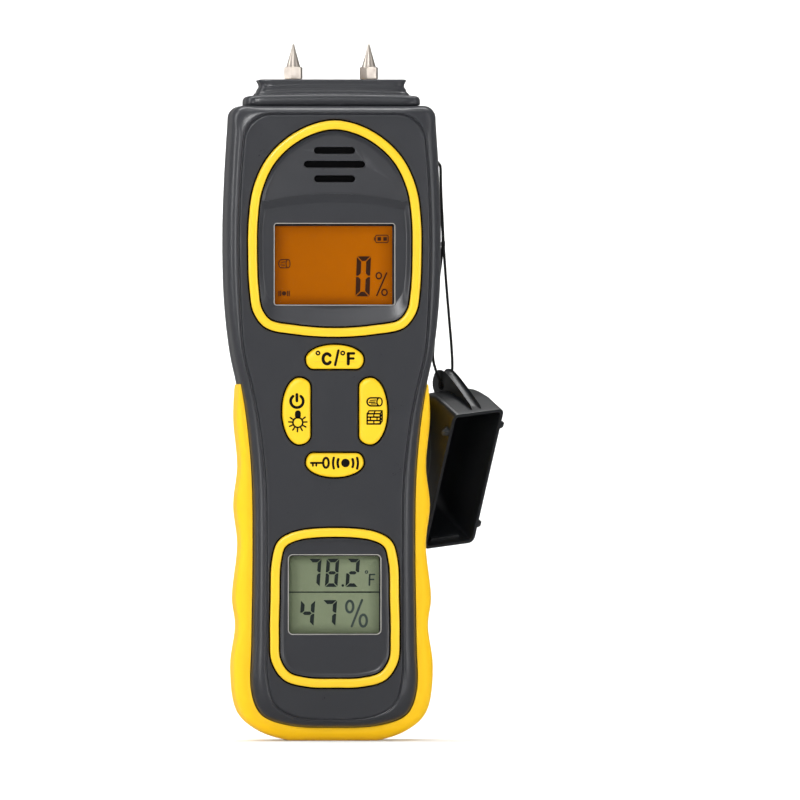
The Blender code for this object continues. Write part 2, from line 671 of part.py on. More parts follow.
def pin_cap(plastic):
    """Hollow cover with a thick fin on its end wall for the cord."""
    outside = [
        (10.0, 25.6, 2.2, 0), (9.9, 25.5, 2.2, 9), (9.8, 24.4, 3.0, 14), (9.5, 22.2, 4.0, 18.5),
        (8.6, 19.4, 5.0, 22), (6.4, 16.4, 5.0, 24),
    ]
    inside = [
        (8.7, 24.3, 1.2, 0), (8.6, 24.2, 1.2, 9), (8.5, 23.1, 2.0, 14), (8.1, 20.8, 3.0, 18),
        (7.2, 18.2, 4.0, 21.2), (5.2, 15.4, 4.0, 22.7),
    ]
    loops = []
    for half_x, half_y, corner, depth in outside[::-1] + inside:
        loops.append([cap_place(x, y, depth) for x, y in rounded_rectangle(half_x, half_y, corner)])
    hinge = cap_place(*CAP_HOLE)
    cap = loft("pin_cap", loops, plastic, hinge)
    fin = [
        (-25.0, 2.2), (-25.9, 3.6), (-27.1, 10), (-28.1, 18), (-27.9, 21.4), (-26.5, 23.6),
        (-24.2, 24.4), (-21.8, 23.8), (-20.2, 21.6), (-22.0, 16.6), (-24.2, 12), (-24.9, 7),
    ]
    loops = [[cap_place(x, y, depth) for y, depth in fin] for x in (-FIN_HALF, FIN_HALF)]
    additions = [loft("cord_fin", loops, plastic)]
    for number, (side, along) in enumerate([(-1, -18.3), (-1, 19.4), (1, -18.3), (1, 19.4)]):
        nub = [(side * 9.4, 0.2), (side * 12.0, 1.3), (side * 9.4, 3.6)]
        loops = [[cap_place(x, y, depth) for x, depth in nub] for y in (along - 1.6, along + 1.6)]
        additions.append(loft(f"snap_nub_{number}", loops, plastic))
    join(cap, additions)
    _, along, depth = CAP_HOLE
    cut(cap, [rod("fin_hole", cap_place(-4, along, depth), cap_place(4, along, depth), HOLE_R, plastic)])


# Right and left strand of the cord between the case and the pin cover, from the top down
RIGHT_STRAND = [
    (37.05, 16.5, 182), (37.3, 15.8, 174), (37.6, 15.6, 168), (37.9, 15.6, 161), (38.9, 16.2, 147.5),
    (39.9, 16.8, 136), (40.6, 17.2, 128), (40.9, 17.4, 121.5),
]
LEFT_STRAND = [
    (32.6, 16.95, 183), (34.9, 17.0, 179.5), (36.7, 16.95, 175.5), (37.4, 16.85, 169), (37.75, 16.8, 163),
    (37.3, 16.7, 157), (36.2, 16.3, 148.5), (35.1, 15.8, 138), (34.7, 15.5, 130), (34.5, 15.3, 123.5),
]


def cord_route():
    """Out of the eye on the right, down to the pin cover, through its fin and back up to the eye."""
    hole = cap_place(*CAP_HOLE)
    up = Vector((0, 0, 1))
    right = Vector((1, 0, 0))
    eye_turn = [math.radians(a) for a in (12, 40, 70, 90)]
    out = [EYE + right * EYE_BEND * math.sin(a) - up * EYE_BEND * (1 - math.cos(a)) for a in eye_turn]
    back = [EYE - right * EYE_BEND * math.sin(a) - up * EYE_BEND * (1 - math.cos(a)) for a in eye_turn]
    loop_turn = [math.radians(a) for a in range(15, 166, 25)]
    loop = []
    for angle in loop_turn:
        loop.append(hole + CAP_ACROSS * LOOP_BEND * math.cos(angle) + up * LOOP_BEND * (1 - math.sin(angle)))
    route = out + [Vector(p) for p in RIGHT_STRAND] + loop + [Vector(p) for p in reversed(LEFT_STRAND)]
    return route + back[::-1]


def lanyard_cord(black):
    route = cord_route()
    curve = smooth(route, 8, route[0] * 2 - route[1], route[-1] * 2 - route[-2])
    spacing = 2.6 * 2 * CORD_R
    points = [curve[0]]
    for point in curve[1:-1]:
        bend = min((point - p).length for p in (cap_place(*CAP_HOLE), EYE))
        if (point - points[-1]).length >= (spacing if bend > 4 else spacing / 3):
            points.append(point)
    cord_object("lanyard_cord", points + [curve[-1]], CORD_R, black, EYE)


for leftover in list(bpy.data.objects):
    bpy.data.objects.remove(leftover)

HOUSING = cornered_outline(HOUSING_SIDE, HOUSING_CORNER, CASE_TOP)
PANEL = cornered_outline(PANEL_SIDE, PANEL_CORNER, 203.5)
UPPER_RING = mirrored(side_curve(UPPER_RING_SIDE, 2))
LOWER_RING = mirrored(side_curve(LOWER_RING_SIDE, 2))

grey = finish("case_grey", 0.28, 0.28, 0.29, 0.5)
yellow = finish("trim_yellow", 0.98, 0.85, 0.18, 0.4)
soft_yellow = finish("grip_yellow", 0.98, 0.82, 0.08, 0.65)
dark = finish("cap_black", 0.2, 0.21, 0.22, 0.5)
cord_black = finish("cord_black", 0.04, 0.04, 0.04, 0.8)
steel = finish("nickel_steel", 0.8, 0.77, 0.73, 0.25, 1)
brass = finish("brass", 0.78, 0.62, 0.32, 0.35, 1)
copper = finish("copper", 0.8, 0.5, 0.35, 0.35, 1)
clear = finish("clear_window", 0.95, 0.95, 0.95, 0.05)
cell = finish("display_cell", 0.5, 0.52, 0.45, 0.3)
guide = finish("light_guide", 0.95, 0.95, 0.9, 0.4)
board = finish("board_green", 0.06, 0.3, 0.16, 0.5)
part_black = finish("part_black", 0.06, 0.06, 0.06, 0.5)
part_white = finish("part_white", 0.9, 0.9, 0.88, 0.5)
wire_red = finish("wire_red", 0.75, 0.08, 0.06, 0.5)
battery_can = finish("battery_can", 0.25, 0.27, 0.32, 0.35, 0.6)
foam = finish("foam_grey", 0.15, 0.15, 0.15, 0.95)

front_cover(grey)
rear_cover(grey)
trim_ring("upper_trim_ring", UPPER_RING, yellow)
trim_ring("lower_trim_ring", LOWER_RING, yellow)
grip_overmould(soft_yellow)
pin_block(grey)
pins_and_sockets(brass, steel)
displays(clear, cell, guide, part_white, part_black)
keys_and_switches(yellow, part_black)
electronics(board, part_black, part_white, steel, copper)
battery_and_door(grey, battery_can, part_black, foam)
case_screws(steel)
leads(wire_red, part_black, part_white)
pin_cap(dark)
lanyard_cord(cord_black)
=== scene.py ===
"""Looks of the handheld moisture meter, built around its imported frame.

Lengths below are in millimetres until skin() and round_cord() turn them into metres.
X runs across the face, Y from the face to the back, and Z up the handle.
"""

import math

import bmesh
import bpy
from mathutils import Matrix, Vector


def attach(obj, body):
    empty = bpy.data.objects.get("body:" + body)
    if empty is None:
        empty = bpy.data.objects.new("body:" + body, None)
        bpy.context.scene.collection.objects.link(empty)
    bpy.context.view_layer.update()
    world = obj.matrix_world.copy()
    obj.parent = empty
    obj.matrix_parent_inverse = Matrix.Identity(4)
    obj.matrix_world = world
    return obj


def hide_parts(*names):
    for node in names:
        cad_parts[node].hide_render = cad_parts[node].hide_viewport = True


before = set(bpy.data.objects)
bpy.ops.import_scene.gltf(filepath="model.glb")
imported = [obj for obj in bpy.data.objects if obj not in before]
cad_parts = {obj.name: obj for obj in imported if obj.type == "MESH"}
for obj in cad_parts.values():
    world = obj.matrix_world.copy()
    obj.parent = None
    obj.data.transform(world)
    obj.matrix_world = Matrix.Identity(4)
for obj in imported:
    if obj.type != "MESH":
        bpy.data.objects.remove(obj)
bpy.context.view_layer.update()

MM = 0.001

# ---------------------------------------------------------------- outlines

HOUSING_SIDE = [
    (0, 4.2), (14.5, 4.9), (23.6, 8.3), (26.9, 15.5), (26.9, 32), (26.5, 60), (26.8, 85),
    (28.3, 102.7), (30.2, 115), (32.5, 126), (34.4, 143), (34.9, 165), (34.1, 187), (33.2, 201.6),
]
PANEL_SIDE = [
    (0, 6.5), (12.8, 7.5), (19.8, 11.8), (22.2, 20), (22.4, 34), (22.4, 60), (22.8, 84),
    (24.8, 102.7), (27.3, 115.3), (29.8, 126), (31.0, 144), (31.4, 165), (30.7, 184), (29.9, 193.7),
]
GRIP_SIDE = [
    (0, 0), (14, 0), (24, 3.3), (30.3, 9.2), (32.5, 23.7), (30.9, 37.4), (31.9, 46.2),
    (30.2, 63.7), (31.5, 76.4), (30.2, 89), (31.5, 104.7), (31.0, 115.5),
]
UPPER_RING_SIDE = [
    (0, 131.0), (13, 131.9), (22.3, 133.9), (26.3, 138.8), (27.6, 146), (28.1, 158),
    (27.9, 169), (26.5, 178.8), (22.8, 187.5), (17.4, 193.8), (9.4, 198.9), (0, 201.1),
]
LOWER_RING_SIDE = [
    (0, 17.3), (9, 17.6), (16.4, 19.8), (20.4, 25.6), (21.0, 34), (20.8, 46),
    (20.4, 58), (18.4, 64.6), (13.2, 67.7), (0, 69.0),
]
FINE = 6  # points for each span between two of the points above

CASE_TOP = 206.0
FACE_Y = -16.75  # the face inside its raised rim
RIM_Y = -17.0
OUTSIDE_Y = -19.0
INSIDE_Y = -14.8
WALL = 2.2
GRIP_TOP = 115.5
RING_WIDTH = 2.8
RING_GAP = 0.52
CREST = 178.0  # height of the crease between the display field and the arch above it
CREST_DROP = 3.0  # how far the crease falls towards the sides
FIELD_Y = -15.6
UPPER_VIEW = (19.45, 141.4, 167.6)
LOWER_VIEW = (14.9, 34.7, 60.2)
SLOTS = [(6.65, 191.4), (9.95, 186.9), (6.65, 182.2)]
KEYS = {
    "unit": ((0, 120.6), (0, 1), 9.35, 7.8, 6.9),
    "power": ((-7.95, 106.9), (-1, 0), 10.8, 9.1, 7.8),
    "material": ((7.95, 106.9), (1, 0), 10.8, 9.1, 7.8),
    "hold": ((0, 93.3), (0, -1), 9.35, 7.8, 6.9),
}
KEY_TOP_Y = -17.8
SCREWS = [(-24.5, 190.5), (24.5, 190.5), (-19.0, 82.0), (19.0, 82.0)]
PIN_X = 12.3
DOOR = (16.5, 9.8, 73.0)
PAD = (20.0, 145.0, 185.0)
EYE = Vector((34.6, 16.9, 188.5))
CORD_R = 0.45

CAP_MOUTH = Vector((44.3, 13.0, 84.7))
CAP_ALONG = Vector((-0.157, 0.490, -0.857)).normalized()
CAP_DEPTH = Vector((-0.461, 0.731, 0.503)).normalized()
CAP_ACROSS = CAP_ALONG.cross(CAP_DEPTH)
CAP_HOLE = Vector((0, -23.8, 20.5))


def smooth(points, steps, before, after):
    """Points on a smooth curve through the given ones; before and after steer its two ends."""
    knots = [Vector(p) for p in (before, *points, after)]
    found = []
    for p0, p1, p2, p3 in zip(knots, knots[1:], knots[2:], knots[3:]):
        d0, d1, d2 = (max(math.sqrt((b - a).length), 1e-6) for a, b in ((p0, p1), (p1, p2), (p2, p3)))
        leave = ((p1 - p0) / d0 - (p2 - p0) / (d0 + d1) + (p2 - p1) / d1) * d1
        arrive = ((p2 - p1) / d1 - (p3 - p1) / (d1 + d2) + (p3 - p2) / d2) * d1
        for step in range(steps):
            t = step / steps
            spline = p1 * (2 * t**3 - 3 * t**2 + 1) + leave * (t**3 - 2 * t**2 + t)
            found.append(spline + p2 * (3 * t**2 - 2 * t**3) + arrive * (t**3 - t**2))
    return found + [knots[-2]]


def side_curve(side, after=None):
    first, last = side[1], side[-2]
    return [tuple(p) for p in smooth(side, FINE, (-first[0], first[1]), after or (-last[0], last[1]))]


def mirrored(side):
    """A closed outline from its right-hand side; points on the middle line stay single."""
    return side + [(-x, z) for x, z in reversed(side) if x > 1e-6]


def cornered_outline(side, corner, top):
    x, z = side[-1]
    curve = side_curve(side, after=(x, z + 1))
    centre = (x - corner, top - corner)
    turns = [math.pi / 2 * i / 12 for i in range(13)]
    arc = [(centre[0] + corner * math.cos(a), centre[1] + corner * math.sin(a)) for a in turns]
    flat = [((x - corner) * (1 - i / 8), top) for i in range(1, 9)]
    return mirrored(curve[:-1] + arc + flat)


def offset(outline, distance):
    """The outline moved outwards by distance, or inwards where it is negative."""
    if not distance:
        return outline
    moved = []
    for (ax, az), (bx, bz), (cx, cz) in zip(outline[-1:] + outline[:-1], outline, outline[1:] + outline[:1]):
        first = Vector((bz - az, ax - bx)).normalized()
        second = Vector((cz - bz, bx - cx)).normalized()
        middle = (first + second).normalized()
        reach = distance / max(middle.dot(first), 0.5)
        moved.append((bx + middle.x * reach, bz + middle.y * reach))
    return moved


def between(outline, other, share):
    return [(a + (c - a) * share, b + (d - b) * share) for (a, b), (c, d) in zip(outline, other)]


def at_y(outline, y):
    return [(x, y, z) for x, z in outline]


def rectangle(view, corner=0.0, steps=6):
    """An upright rectangle on the face, as half width, bottom and top, with round corners."""
    half, low, high = view
    if not corner:
        return [(-half, low), (half, low), (half, high), (-half, high)]
    middle = (low + high) / 2
    return [(x, middle + z) for x, z in rounded_rectangle(half, (high - low) / 2, corner, steps)]


def rounded_rectangle(half_x, half_y, corner, steps=6):
    points = []
    for quarter, (sx, sy) in enumerate([(1, 1), (-1, 1), (-1, -1), (1, -1)]):
        for i in range(steps + 1):
            angle = math.pi / 2 * (quarter + i / steps)
            x = sx * (half_x - corner) + corner * math.cos(angle)
            points.append((x, sy * (half_y - corner) + corner * math.sin(angle)))
    return points


def rounded_at(x, z, half_x, half_z, corner):
    return [(x + u, z + v) for u, v in rounded_rectangle(half_x, half_z, corner)]


def ellipse(x, z, radius_x, radius_z, start=0, end=360, count=28):
    turns = [math.radians(start + (end - start) * i / count) for i in range(count + 1)]
    return [(x + radius_x * math.cos(a), z + radius_z * math.sin(a)) for a in turns]


def key_outline(key, grow=0.0):
    """A flat side with round corners under a half ellipse."""
    (x, z), (dx, dz), half, depth, flat = KEYS[key]
    shoulder = depth * 0.4
    right = [(flat * i / 6, 0) for i in range(6)]
    for i in range(9):
        angle = -math.pi / 2 + math.pi / 2 * i / 8
        right.append((flat + (half - flat) * math.cos(angle), shoulder + shoulder * math.sin(angle)))
    for i in range(1, 15):
        angle = math.pi / 2 * i / 14
        right.append((half * math.cos(angle), shoulder + (depth - shoulder) * math.sin(angle)))
    right[-1] = (0, depth)
    points = mirrored(right)
    return offset([(x + dz * u + dx * v, z - dx * u + dz * v) for u, v in points], grow)


HOUSING = cornered_outline(HOUSING_SIDE, 4.0, CASE_TOP)
PANEL = cornered_outline(PANEL_SIDE, 9.75, 203.5)
UPPER_RING = mirrored(side_curve(UPPER_RING_SIDE))
LOWER_RING = mirrored(side_curve(LOWER_RING_SIDE))

# ---------------------------------------------------------------- meshes


def skin(name, loops, caps=True, ring=False, sharp=35):
    """A mesh through loops of equal count, with end caps, or with the last loop joined to the first."""
    count = len(loops[0])
    faces = []
    for row in range(len(loops) - (0 if ring else 1)):
        first, second = row * count, (row + 1) % len(loops) * count
        for i in range(count):
            j = (i + 1) % count
            faces.append((first + i, first + j, second + j, second + i))
    if caps and not ring:
        faces += [list(range(count)), list(range((len(loops) - 1) * count, len(loops) * count))]
    return mesh_object(name, [p for loop in loops for p in loop], faces, sharp)


def mesh_object(name, vertices, faces, sharp=35):
    mesh = bpy.data.meshes.new(name)
    mesh.from_pydata([Vector(v) * MM for v in vertices], [], faces)
    shape = bmesh.new()
    shape.from_mesh(mesh)
    bmesh.ops.remove_doubles(shape, verts=shape.verts, dist=1e-7)
    bmesh.ops.recalc_face_normals(shape, faces=shape.faces)
    shape.to_mesh(mesh)
    shape.free()
    shade(mesh, sharp)
    thing = bpy.data.objects.new(name, mesh)
    bpy.context.scene.collection.objects.link(thing)
    return thing


def shade(mesh, sharp):
    mesh.shade_smooth()
    mesh.set_sharp_from_angle(angle=math.radians(sharp))


def slab(name, outline, levels, sharp=35):
    """A solid through copies of one outline, as (depth, growth) levels."""
    return skin(name, [at_y(offset(outline, grow), y) for y, grow in levels], sharp=sharp)


def block(name, x_range, y_range, z_range, corner=0.3):
    """A box with softened edges."""
    middle = (sum(x_range) / 2, sum(z_range) / 2)
    half_x, half_z = (x_range[1] - x_range[0]) / 2, (z_range[1] - z_range[0]) / 2
    outline = [(middle[0] + x, middle[1] + z) for x, z in rounded_rectangle(half_x, half_z, corner * 1.5, 4)]
    low, high = y_range
    soft = corner * 0.3
    return slab(name, outline, [(low, -corner), (low + soft, -soft), (low + corner, 0), (high - corner, 0),
                                (high - soft, -soft), (high, -corner)])


def turned(name, profile, start, direction, sides=40, sharp=35):
    """A turned solid: profile gives (radius, distance along direction), and 'hex' makes a ring hexagonal."""
    direction = Vector(direction).normalized()
    across = direction.orthogonal().normalized()
    up = direction.cross(across)
    rings, vertices = [], []
    for radius, along, *form in profile:
        ring = []
        for i in range(sides if radius else 1):
            angle = 2 * math.pi * i / sides
            reach = radius
            if form:
                reach = radius / math.cos((angle + math.pi / 6) % (math.pi / 3) - math.pi / 6)
            spoke = across * math.cos(angle) + up * math.sin(angle)
            ring.append(len(vertices))
            vertices.append(Vector(start) + direction * along + spoke * reach)
        rings.append(ring)
    faces = []
    for lower, upper in zip(rings, rings[1:]):
        for i in range(sides):
            corners = [lower[i % len(lower)], lower[(i + 1) % len(lower)]]
            corners += [upper[(i + 1) % len(upper)], upper[i % len(upper)]]
            faces.append(list(dict.fromkeys(corners)))
    return mesh_object(name, vertices, faces, sharp)


def rod(name, start, end, radius, sides=40):
    length = (Vector(end) - Vector(start)).length
    profile = [(0, 0), (radius, 0), (radius, length), (0, length)]
    return turned(name, profile, start, Vector(end) - Vector(start), sides)


def carve(target, cutters=(), additions=(), sharp=32):
    """Joins the additions to the target, cuts the cutters out of it, and evens its shading."""
    for operation, helpers in (("UNION", additions), ("DIFFERENCE", cutters)):
        if not helpers:
            continue
        group = bpy.data.collections.new(operation)
        bpy.context.scene.collection.children.link(group)
        for helper in helpers:
            bpy.context.scene.collection.objects.unlink(helper)
            group.objects.link(helper)
        modifier = target.modifiers.new(operation, "BOOLEAN")
        modifier.operation = operation
        modifier.operand_type = "COLLECTION"
        modifier.collection = group
    graph = bpy.context.evaluated_depsgraph_get()
    mesh = bpy.data.meshes.new_from_object(target.evaluated_get(graph))
    target.modifiers.clear()
    target.data = mesh
    for helper in (*additions, *cutters):
        bpy.data.objects.remove(helper)
    shade(mesh, sharp)
    even = target.modifiers.new("even shading", "WEIGHTED_NORMAL")
    even.keep_sharp = True
    even.weight = 100
    return target


def flared(name, outline, depth, edge=0.25):
    """A cutter from outside the face to depth, with a softened mouth."""
    levels = [(OUTSIDE_Y, edge * 1.3), (FACE_Y - 0.05, edge), (FACE_Y + edge * 0.35, edge * 0.3),
              (FACE_Y + edge, 0), (depth, 0)]
    return slab(name, outline, levels)


def finish_piece(thing, body, slot, look, *replaced):
    """Puts a piece on its body, with its material and the CAD nodes it stands for; the slot argument is not
    used.
    """
    thing.data.materials.clear()
    thing.data.materials.append(look)
    if thing.type == "MESH" and not thing.modifiers:
        even = thing.modifiers.new("even shading", "WEIGHTED_NORMAL")
        even.keep_sharp = True
        even.weight = 100
    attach(thing, body)
    if replaced:
        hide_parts(*replaced)
    return thing


# ---------------------------------------------------------------- materials


def linear(colour):
    """A display colour, 0 to 255, as linear light."""
    shares = [c / 255 for c in colour]
    return (*[((c + 0.055) / 1.055) ** 2.4 if c > 0.04 else c / 12.92 for c in shares], 1)


def node_group(name, inputs, outputs):
    """An empty node group with named sockets; returns it with its input and output nodes."""
    group = bpy.data.node_groups.new(name, "ShaderNodeTree")
    for label, kind, value in inputs:
        socket = group.interface.new_socket(label, in_out="INPUT", socket_type=kind)
        socket.default_value = value
    for label, kind in outputs:
        group.interface.new_socket(label, in_out="OUTPUT", socket_type=kind)
    return group, group.nodes.new("NodeGroupInput"), group.nodes.new("NodeGroupOutput")


def wire(tree, source, target):
    tree.links.new(source, target)


def calculate(tree, operation, first, second=None, clamp=False):
    """A Math node; first and second are sockets or numbers."""
    node = tree.nodes.new("ShaderNodeMath")
    node.operation = operation
    node.use_clamp = clamp
    for socket, value in zip(node.inputs, (first, second)):
        if isinstance(value, bpy.types.NodeSocket):
            wire(tree, value, socket)
        elif value is not None:
            socket.default_value = value
    return node.outputs[0]


def noise(tree, vector, scale, detail=3.0, roughness=0.55):
    node = tree.nodes.new("ShaderNodeTexNoise")
    wire(tree, vector, node.inputs["Vector"])
    if isinstance(scale, bpy.types.NodeSocket):
        wire(tree, scale, node.inputs["Scale"])
    else:
        node.inputs["Scale"].default_value = scale
    node.inputs["Detail"].default_value = detail
    node.inputs["Roughness"].default_value = roughness
    return node.outputs["Fac"]


def ramp(tree, value, low, high, start=0.0, end=1.0):
    """Value mapped from low..high to start..end, and clamped."""
    node = tree.nodes.new("ShaderNodeMapRange")
    for socket, given in zip(node.inputs, (value, low, high, start, end)):
        if isinstance(given, bpy.types.NodeSocket):
            wire(tree, given, socket)
        else:
            socket.default_value = given
    return node.outputs[0]


def blend_colour(tree, share, first, second, mode="MIX"):
    node = tree.nodes.new("ShaderNodeMix")
    node.data_type = "RGBA"
    node.blend_type = mode
    for socket, given in ((node.inputs[0], share), (node.inputs[6], first), (node.inputs[7], second)):
        if isinstance(given, bpy.types.NodeSocket):
            wire(tree, given, socket)
        else:
            socket.default_value = given
    return node.outputs[2]


def moulded_surface():
    """Moulded plastic or rubber: cloudy tone, fine spark-eroded grain, and paler worn edges."""
    group, given, made = node_group(
        "moulded surface",
        [("Colour", "NodeSocketColor", (0.1, 0.1, 0.1, 1)),
         ("Worn Colour", "NodeSocketColor", (0.3, 0.3, 0.3, 1)),
         ("Cloudiness", "NodeSocketFloat", 0.1), ("Grain Scale", "NodeSocketFloat", 3000.0),
         ("Wear", "NodeSocketFloat", 0.2), ("Roughness", "NodeSocketFloat", 0.5),
         ("Roughness Spread", "NodeSocketFloat", 0.1)],
        [("Colour", "NodeSocketColor"), ("Roughness", "NodeSocketFloat"), ("Height", "NodeSocketFloat")],
    )
    place = group.nodes.new("ShaderNodeTexCoord").outputs["Object"]
    cloud = noise(group, place, 55.0, 4.0)
    grain = noise(group, place, given.outputs["Grain Scale"], 2.0, 0.6)
    smear = noise(group, place, 160.0, 5.0, 0.7)
    swing = calculate(group, "MULTIPLY", calculate(group, "SUBTRACT", cloud, 0.5),
                      given.outputs["Cloudiness"])
    tone = calculate(group, "ADD", 1.0, calculate(group, "MULTIPLY", swing, 2.0))
    grey = group.nodes.new("ShaderNodeCombineColor")
    for socket in grey.inputs:
        wire(group, tone, socket)
    toned = blend_colour(group, 1.0, given.outputs["Colour"], grey.outputs[0], "MULTIPLY")
    point = group.nodes.new("ShaderNodeNewGeometry").outputs["Pointiness"]
    edge = ramp(group, point, 0.53, 0.62)
    rubbed = calculate(group, "MULTIPLY", edge, ramp(group, smear, 0.35, 0.65))
    worn = calculate(group, "MULTIPLY", rubbed, given.outputs["Wear"], clamp=True)
    wire(group, blend_colour(group, worn, toned, given.outputs["Worn Colour"]), made.inputs["Colour"])
    mixed = calculate(group, "ADD", smear, calculate(group, "MULTIPLY", grain, 0.5))
    uneven = calculate(group, "SUBTRACT", mixed, 0.75)
    rough = calculate(group, "ADD", given.outputs["Roughness"],
                      calculate(group, "MULTIPLY", uneven, given.outputs["Roughness Spread"]), clamp=True)
    wire(group, rough, made.inputs["Roughness"])
    wire(group, grain, made.inputs["Height"])
    return group


def turned_metal():
    """Lathe marks round an upright axis, with faint stains."""
    group, given, made = node_group(
        "turned metal",
        [("Colour", "NodeSocketColor", (0.7, 0.68, 0.65, 1)),
         ("Stain Colour", "NodeSocketColor", (0.4, 0.36, 0.3, 1)),
         ("Line Scale", "NodeSocketFloat", 9000.0), ("Roughness", "NodeSocketFloat", 0.25)],
        [("Colour", "NodeSocketColor"), ("Roughness", "NodeSocketFloat"), ("Height", "NodeSocketFloat")],
    )
    place = group.nodes.new("ShaderNodeTexCoord").outputs["Object"]
    squeeze = group.nodes.new("ShaderNodeMapping")
    squeeze.inputs["Scale"].default_value = (0.02, 0.02, 1.0)
    wire(group, place, squeeze.inputs["Vector"])
    lines = noise(group, squeeze.outputs[0], given.outputs["Line Scale"], 2.0)
    stain = ramp(group, noise(group, place, 420.0, 4.0, 0.65), 0.5, 0.78, 0.0, 0.45)
    wire(group, blend_colour(group, stain, given.outputs["Colour"], given.outputs["Stain Colour"]),
         made.inputs["Colour"])
    rough = calculate(group, "ADD", given.outputs["Roughness"], calculate(group, "MULTIPLY", lines, 0.16))
    wire(group, calculate(group, "ADD", rough, calculate(group, "MULTIPLY", stain, 0.3)),
         made.inputs["Roughness"])
    wire(group, lines, made.inputs["Height"])
    return group


def display_film():
    """An even film that darkens towards the edges of its view and glows a little more on one side."""
    group, given, made = node_group(
        "display film",
        [("Colour", "NodeSocketColor", (0.4, 0.2, 0.02, 1)),
         ("Edge Colour", "NodeSocketColor", (0.25, 0.1, 0.01, 1)),
         ("Middle", "NodeSocketVector", (0, 0, 0.15)), ("Half Width", "NodeSocketFloat", 0.02),
         ("Half Height", "NodeSocketFloat", 0.013)],
        [("Colour", "NodeSocketColor"), ("Roughness", "NodeSocketFloat")],
    )
    place = group.nodes.new("ShaderNodeTexCoord").outputs["Object"]
    from_middle = group.nodes.new("ShaderNodeVectorMath")
    from_middle.operation = "SUBTRACT"
    wire(group, place, from_middle.inputs[0])
    wire(group, given.outputs["Middle"], from_middle.inputs[1])
    parts = group.nodes.new("ShaderNodeSeparateXYZ")
    wire(group, from_middle.outputs[0], parts.inputs[0])
    across = calculate(group, "DIVIDE", parts.outputs["X"], given.outputs["Half Width"])
    upward = calculate(group, "DIVIDE", parts.outputs["Z"], given.outputs["Half Height"])
    edge = calculate(group, "MAXIMUM", calculate(group, "ABSOLUTE", across),
                     calculate(group, "ABSOLUTE", upward))
    fall = ramp(group, edge, 0.72, 1.02)
    side = ramp(group, across, -1.0, 1.0, 0.35, 0.0)
    blotch = calculate(group, "MULTIPLY", noise(group, place, 300.0, 3.0), 0.12)
    dark = calculate(group, "ADD", calculate(group, "MULTIPLY", fall, 0.75),
                     calculate(group, "ADD", side, blotch), clamp=True)
    wire(group, blend_colour(group, dark, given.outputs["Colour"], given.outputs["Edge Colour"]),
         made.inputs["Colour"])
    wire(group, ramp(group, noise(group, place, 2500.0, 2.0), 0.2, 0.8, 0.28, 0.4), made.inputs["Roughness"])
    return group


def braided_cord():
    """Crossed diagonal strands along a thin hanging cord, with the raised strand crests painted paler where
    the fuzz noise is high: a painted sheen.
    """
    group, given, made = node_group(
        "braided cord",
        [("Colour", "NodeSocketColor", (0.01, 0.01, 0.01, 1)), ("Thread Scale", "NodeSocketFloat", 1700.0)],
        [("Colour", "NodeSocketColor"), ("Roughness", "NodeSocketFloat"), ("Height", "NodeSocketFloat")],
    )
    place = group.nodes.new("ShaderNodeTexCoord").outputs["Object"]
    strands = []
    for lean in (0.9, -0.9):
        turn = group.nodes.new("ShaderNodeMapping")
        turn.inputs["Rotation"].default_value = (lean, lean * 0.6, 0)
        wire(group, place, turn.inputs["Vector"])
        wave = group.nodes.new("ShaderNodeTexWave")
        wave.bands_direction = "Z"
        wire(group, turn.outputs[0], wave.inputs["Vector"])
        wire(group, given.outputs["Thread Scale"], wave.inputs["Scale"])
        strands.append(wave.outputs["Fac"])
    height = calculate(group, "MAXIMUM", *strands)
    fuzz = noise(group, place, 6000.0, 2.0)
    # Paler colour for the strand crests: painted sheen.
    light = blend_colour(group, 1.0, given.outputs["Colour"], (2.6, 2.6, 2.7, 1), "MULTIPLY")
    share = calculate(group, "MULTIPLY", height, fuzz)
    wire(group, blend_colour(group, share, given.outputs["Colour"], light), made.inputs["Colour"])
    wire(group, ramp(group, fuzz, 0.2, 0.8, 0.6, 0.9), made.inputs["Roughness"])
    wire(group, height, made.inputs["Height"])
    return group


GROUPS = {
    "moulded": moulded_surface(), "turned": turned_metal(), "film": display_film(), "braid": braided_cord(),
}


def look(name, group, bump=0.0, metallic=0.0, coat=0.0, alpha=1.0, glow=0.0, specular=0.5, **values):
    """A material: one Principled shader fed by a placed group. Values name its sockets, with _ for spaces."""
    material = bpy.data.materials.new(name)
    material.use_nodes = True
    tree = material.node_tree
    shader = tree.nodes["Principled BSDF"]
    placed = tree.nodes.new("ShaderNodeGroup")
    placed.node_tree = GROUPS[group]
    for label, value in values.items():
        placed.inputs[label.replace("_", " ")].default_value = value
    wire(tree, placed.outputs["Colour"], shader.inputs["Base Color"])
    wire(tree, placed.outputs["Roughness"], shader.inputs["Roughness"])
    shader.inputs["Metallic"].default_value = metallic
    shader.inputs["Coat Weight"].default_value = coat
    shader.inputs["Coat Roughness"].default_value = 0.12
    shader.inputs["Alpha"].default_value = alpha
    shader.inputs["Specular IOR Level"].default_value = specular
    if glow:
        wire(tree, placed.outputs["Colour"], shader.inputs["Emission Color"])
        shader.inputs["Emission Strength"].default_value = glow
    if bump:
        relief = tree.nodes.new("ShaderNodeBump")
        relief.inputs["Strength"].default_value = 1.0
        relief.inputs["Distance"].default_value = bump * MM
        wire(tree, placed.outputs["Height"], relief.inputs["Height"])
        wire(tree, relief.outputs[0], shader.inputs["Normal"])
    return material


def plastic(name, colour, roughness, grain=3200.0, bump=0.02, cloud=0.06, wear=0.25, worn=None, **more):
    worn = worn or tuple(min(255, c + 60) for c in colour)
    return look(
        name, "moulded", bump=bump, Colour=linear(colour), Worn_Colour=linear(worn), Cloudiness=cloud,
        Grain_Scale=grain, Wear=wear, Roughness=roughness, **more,
    )


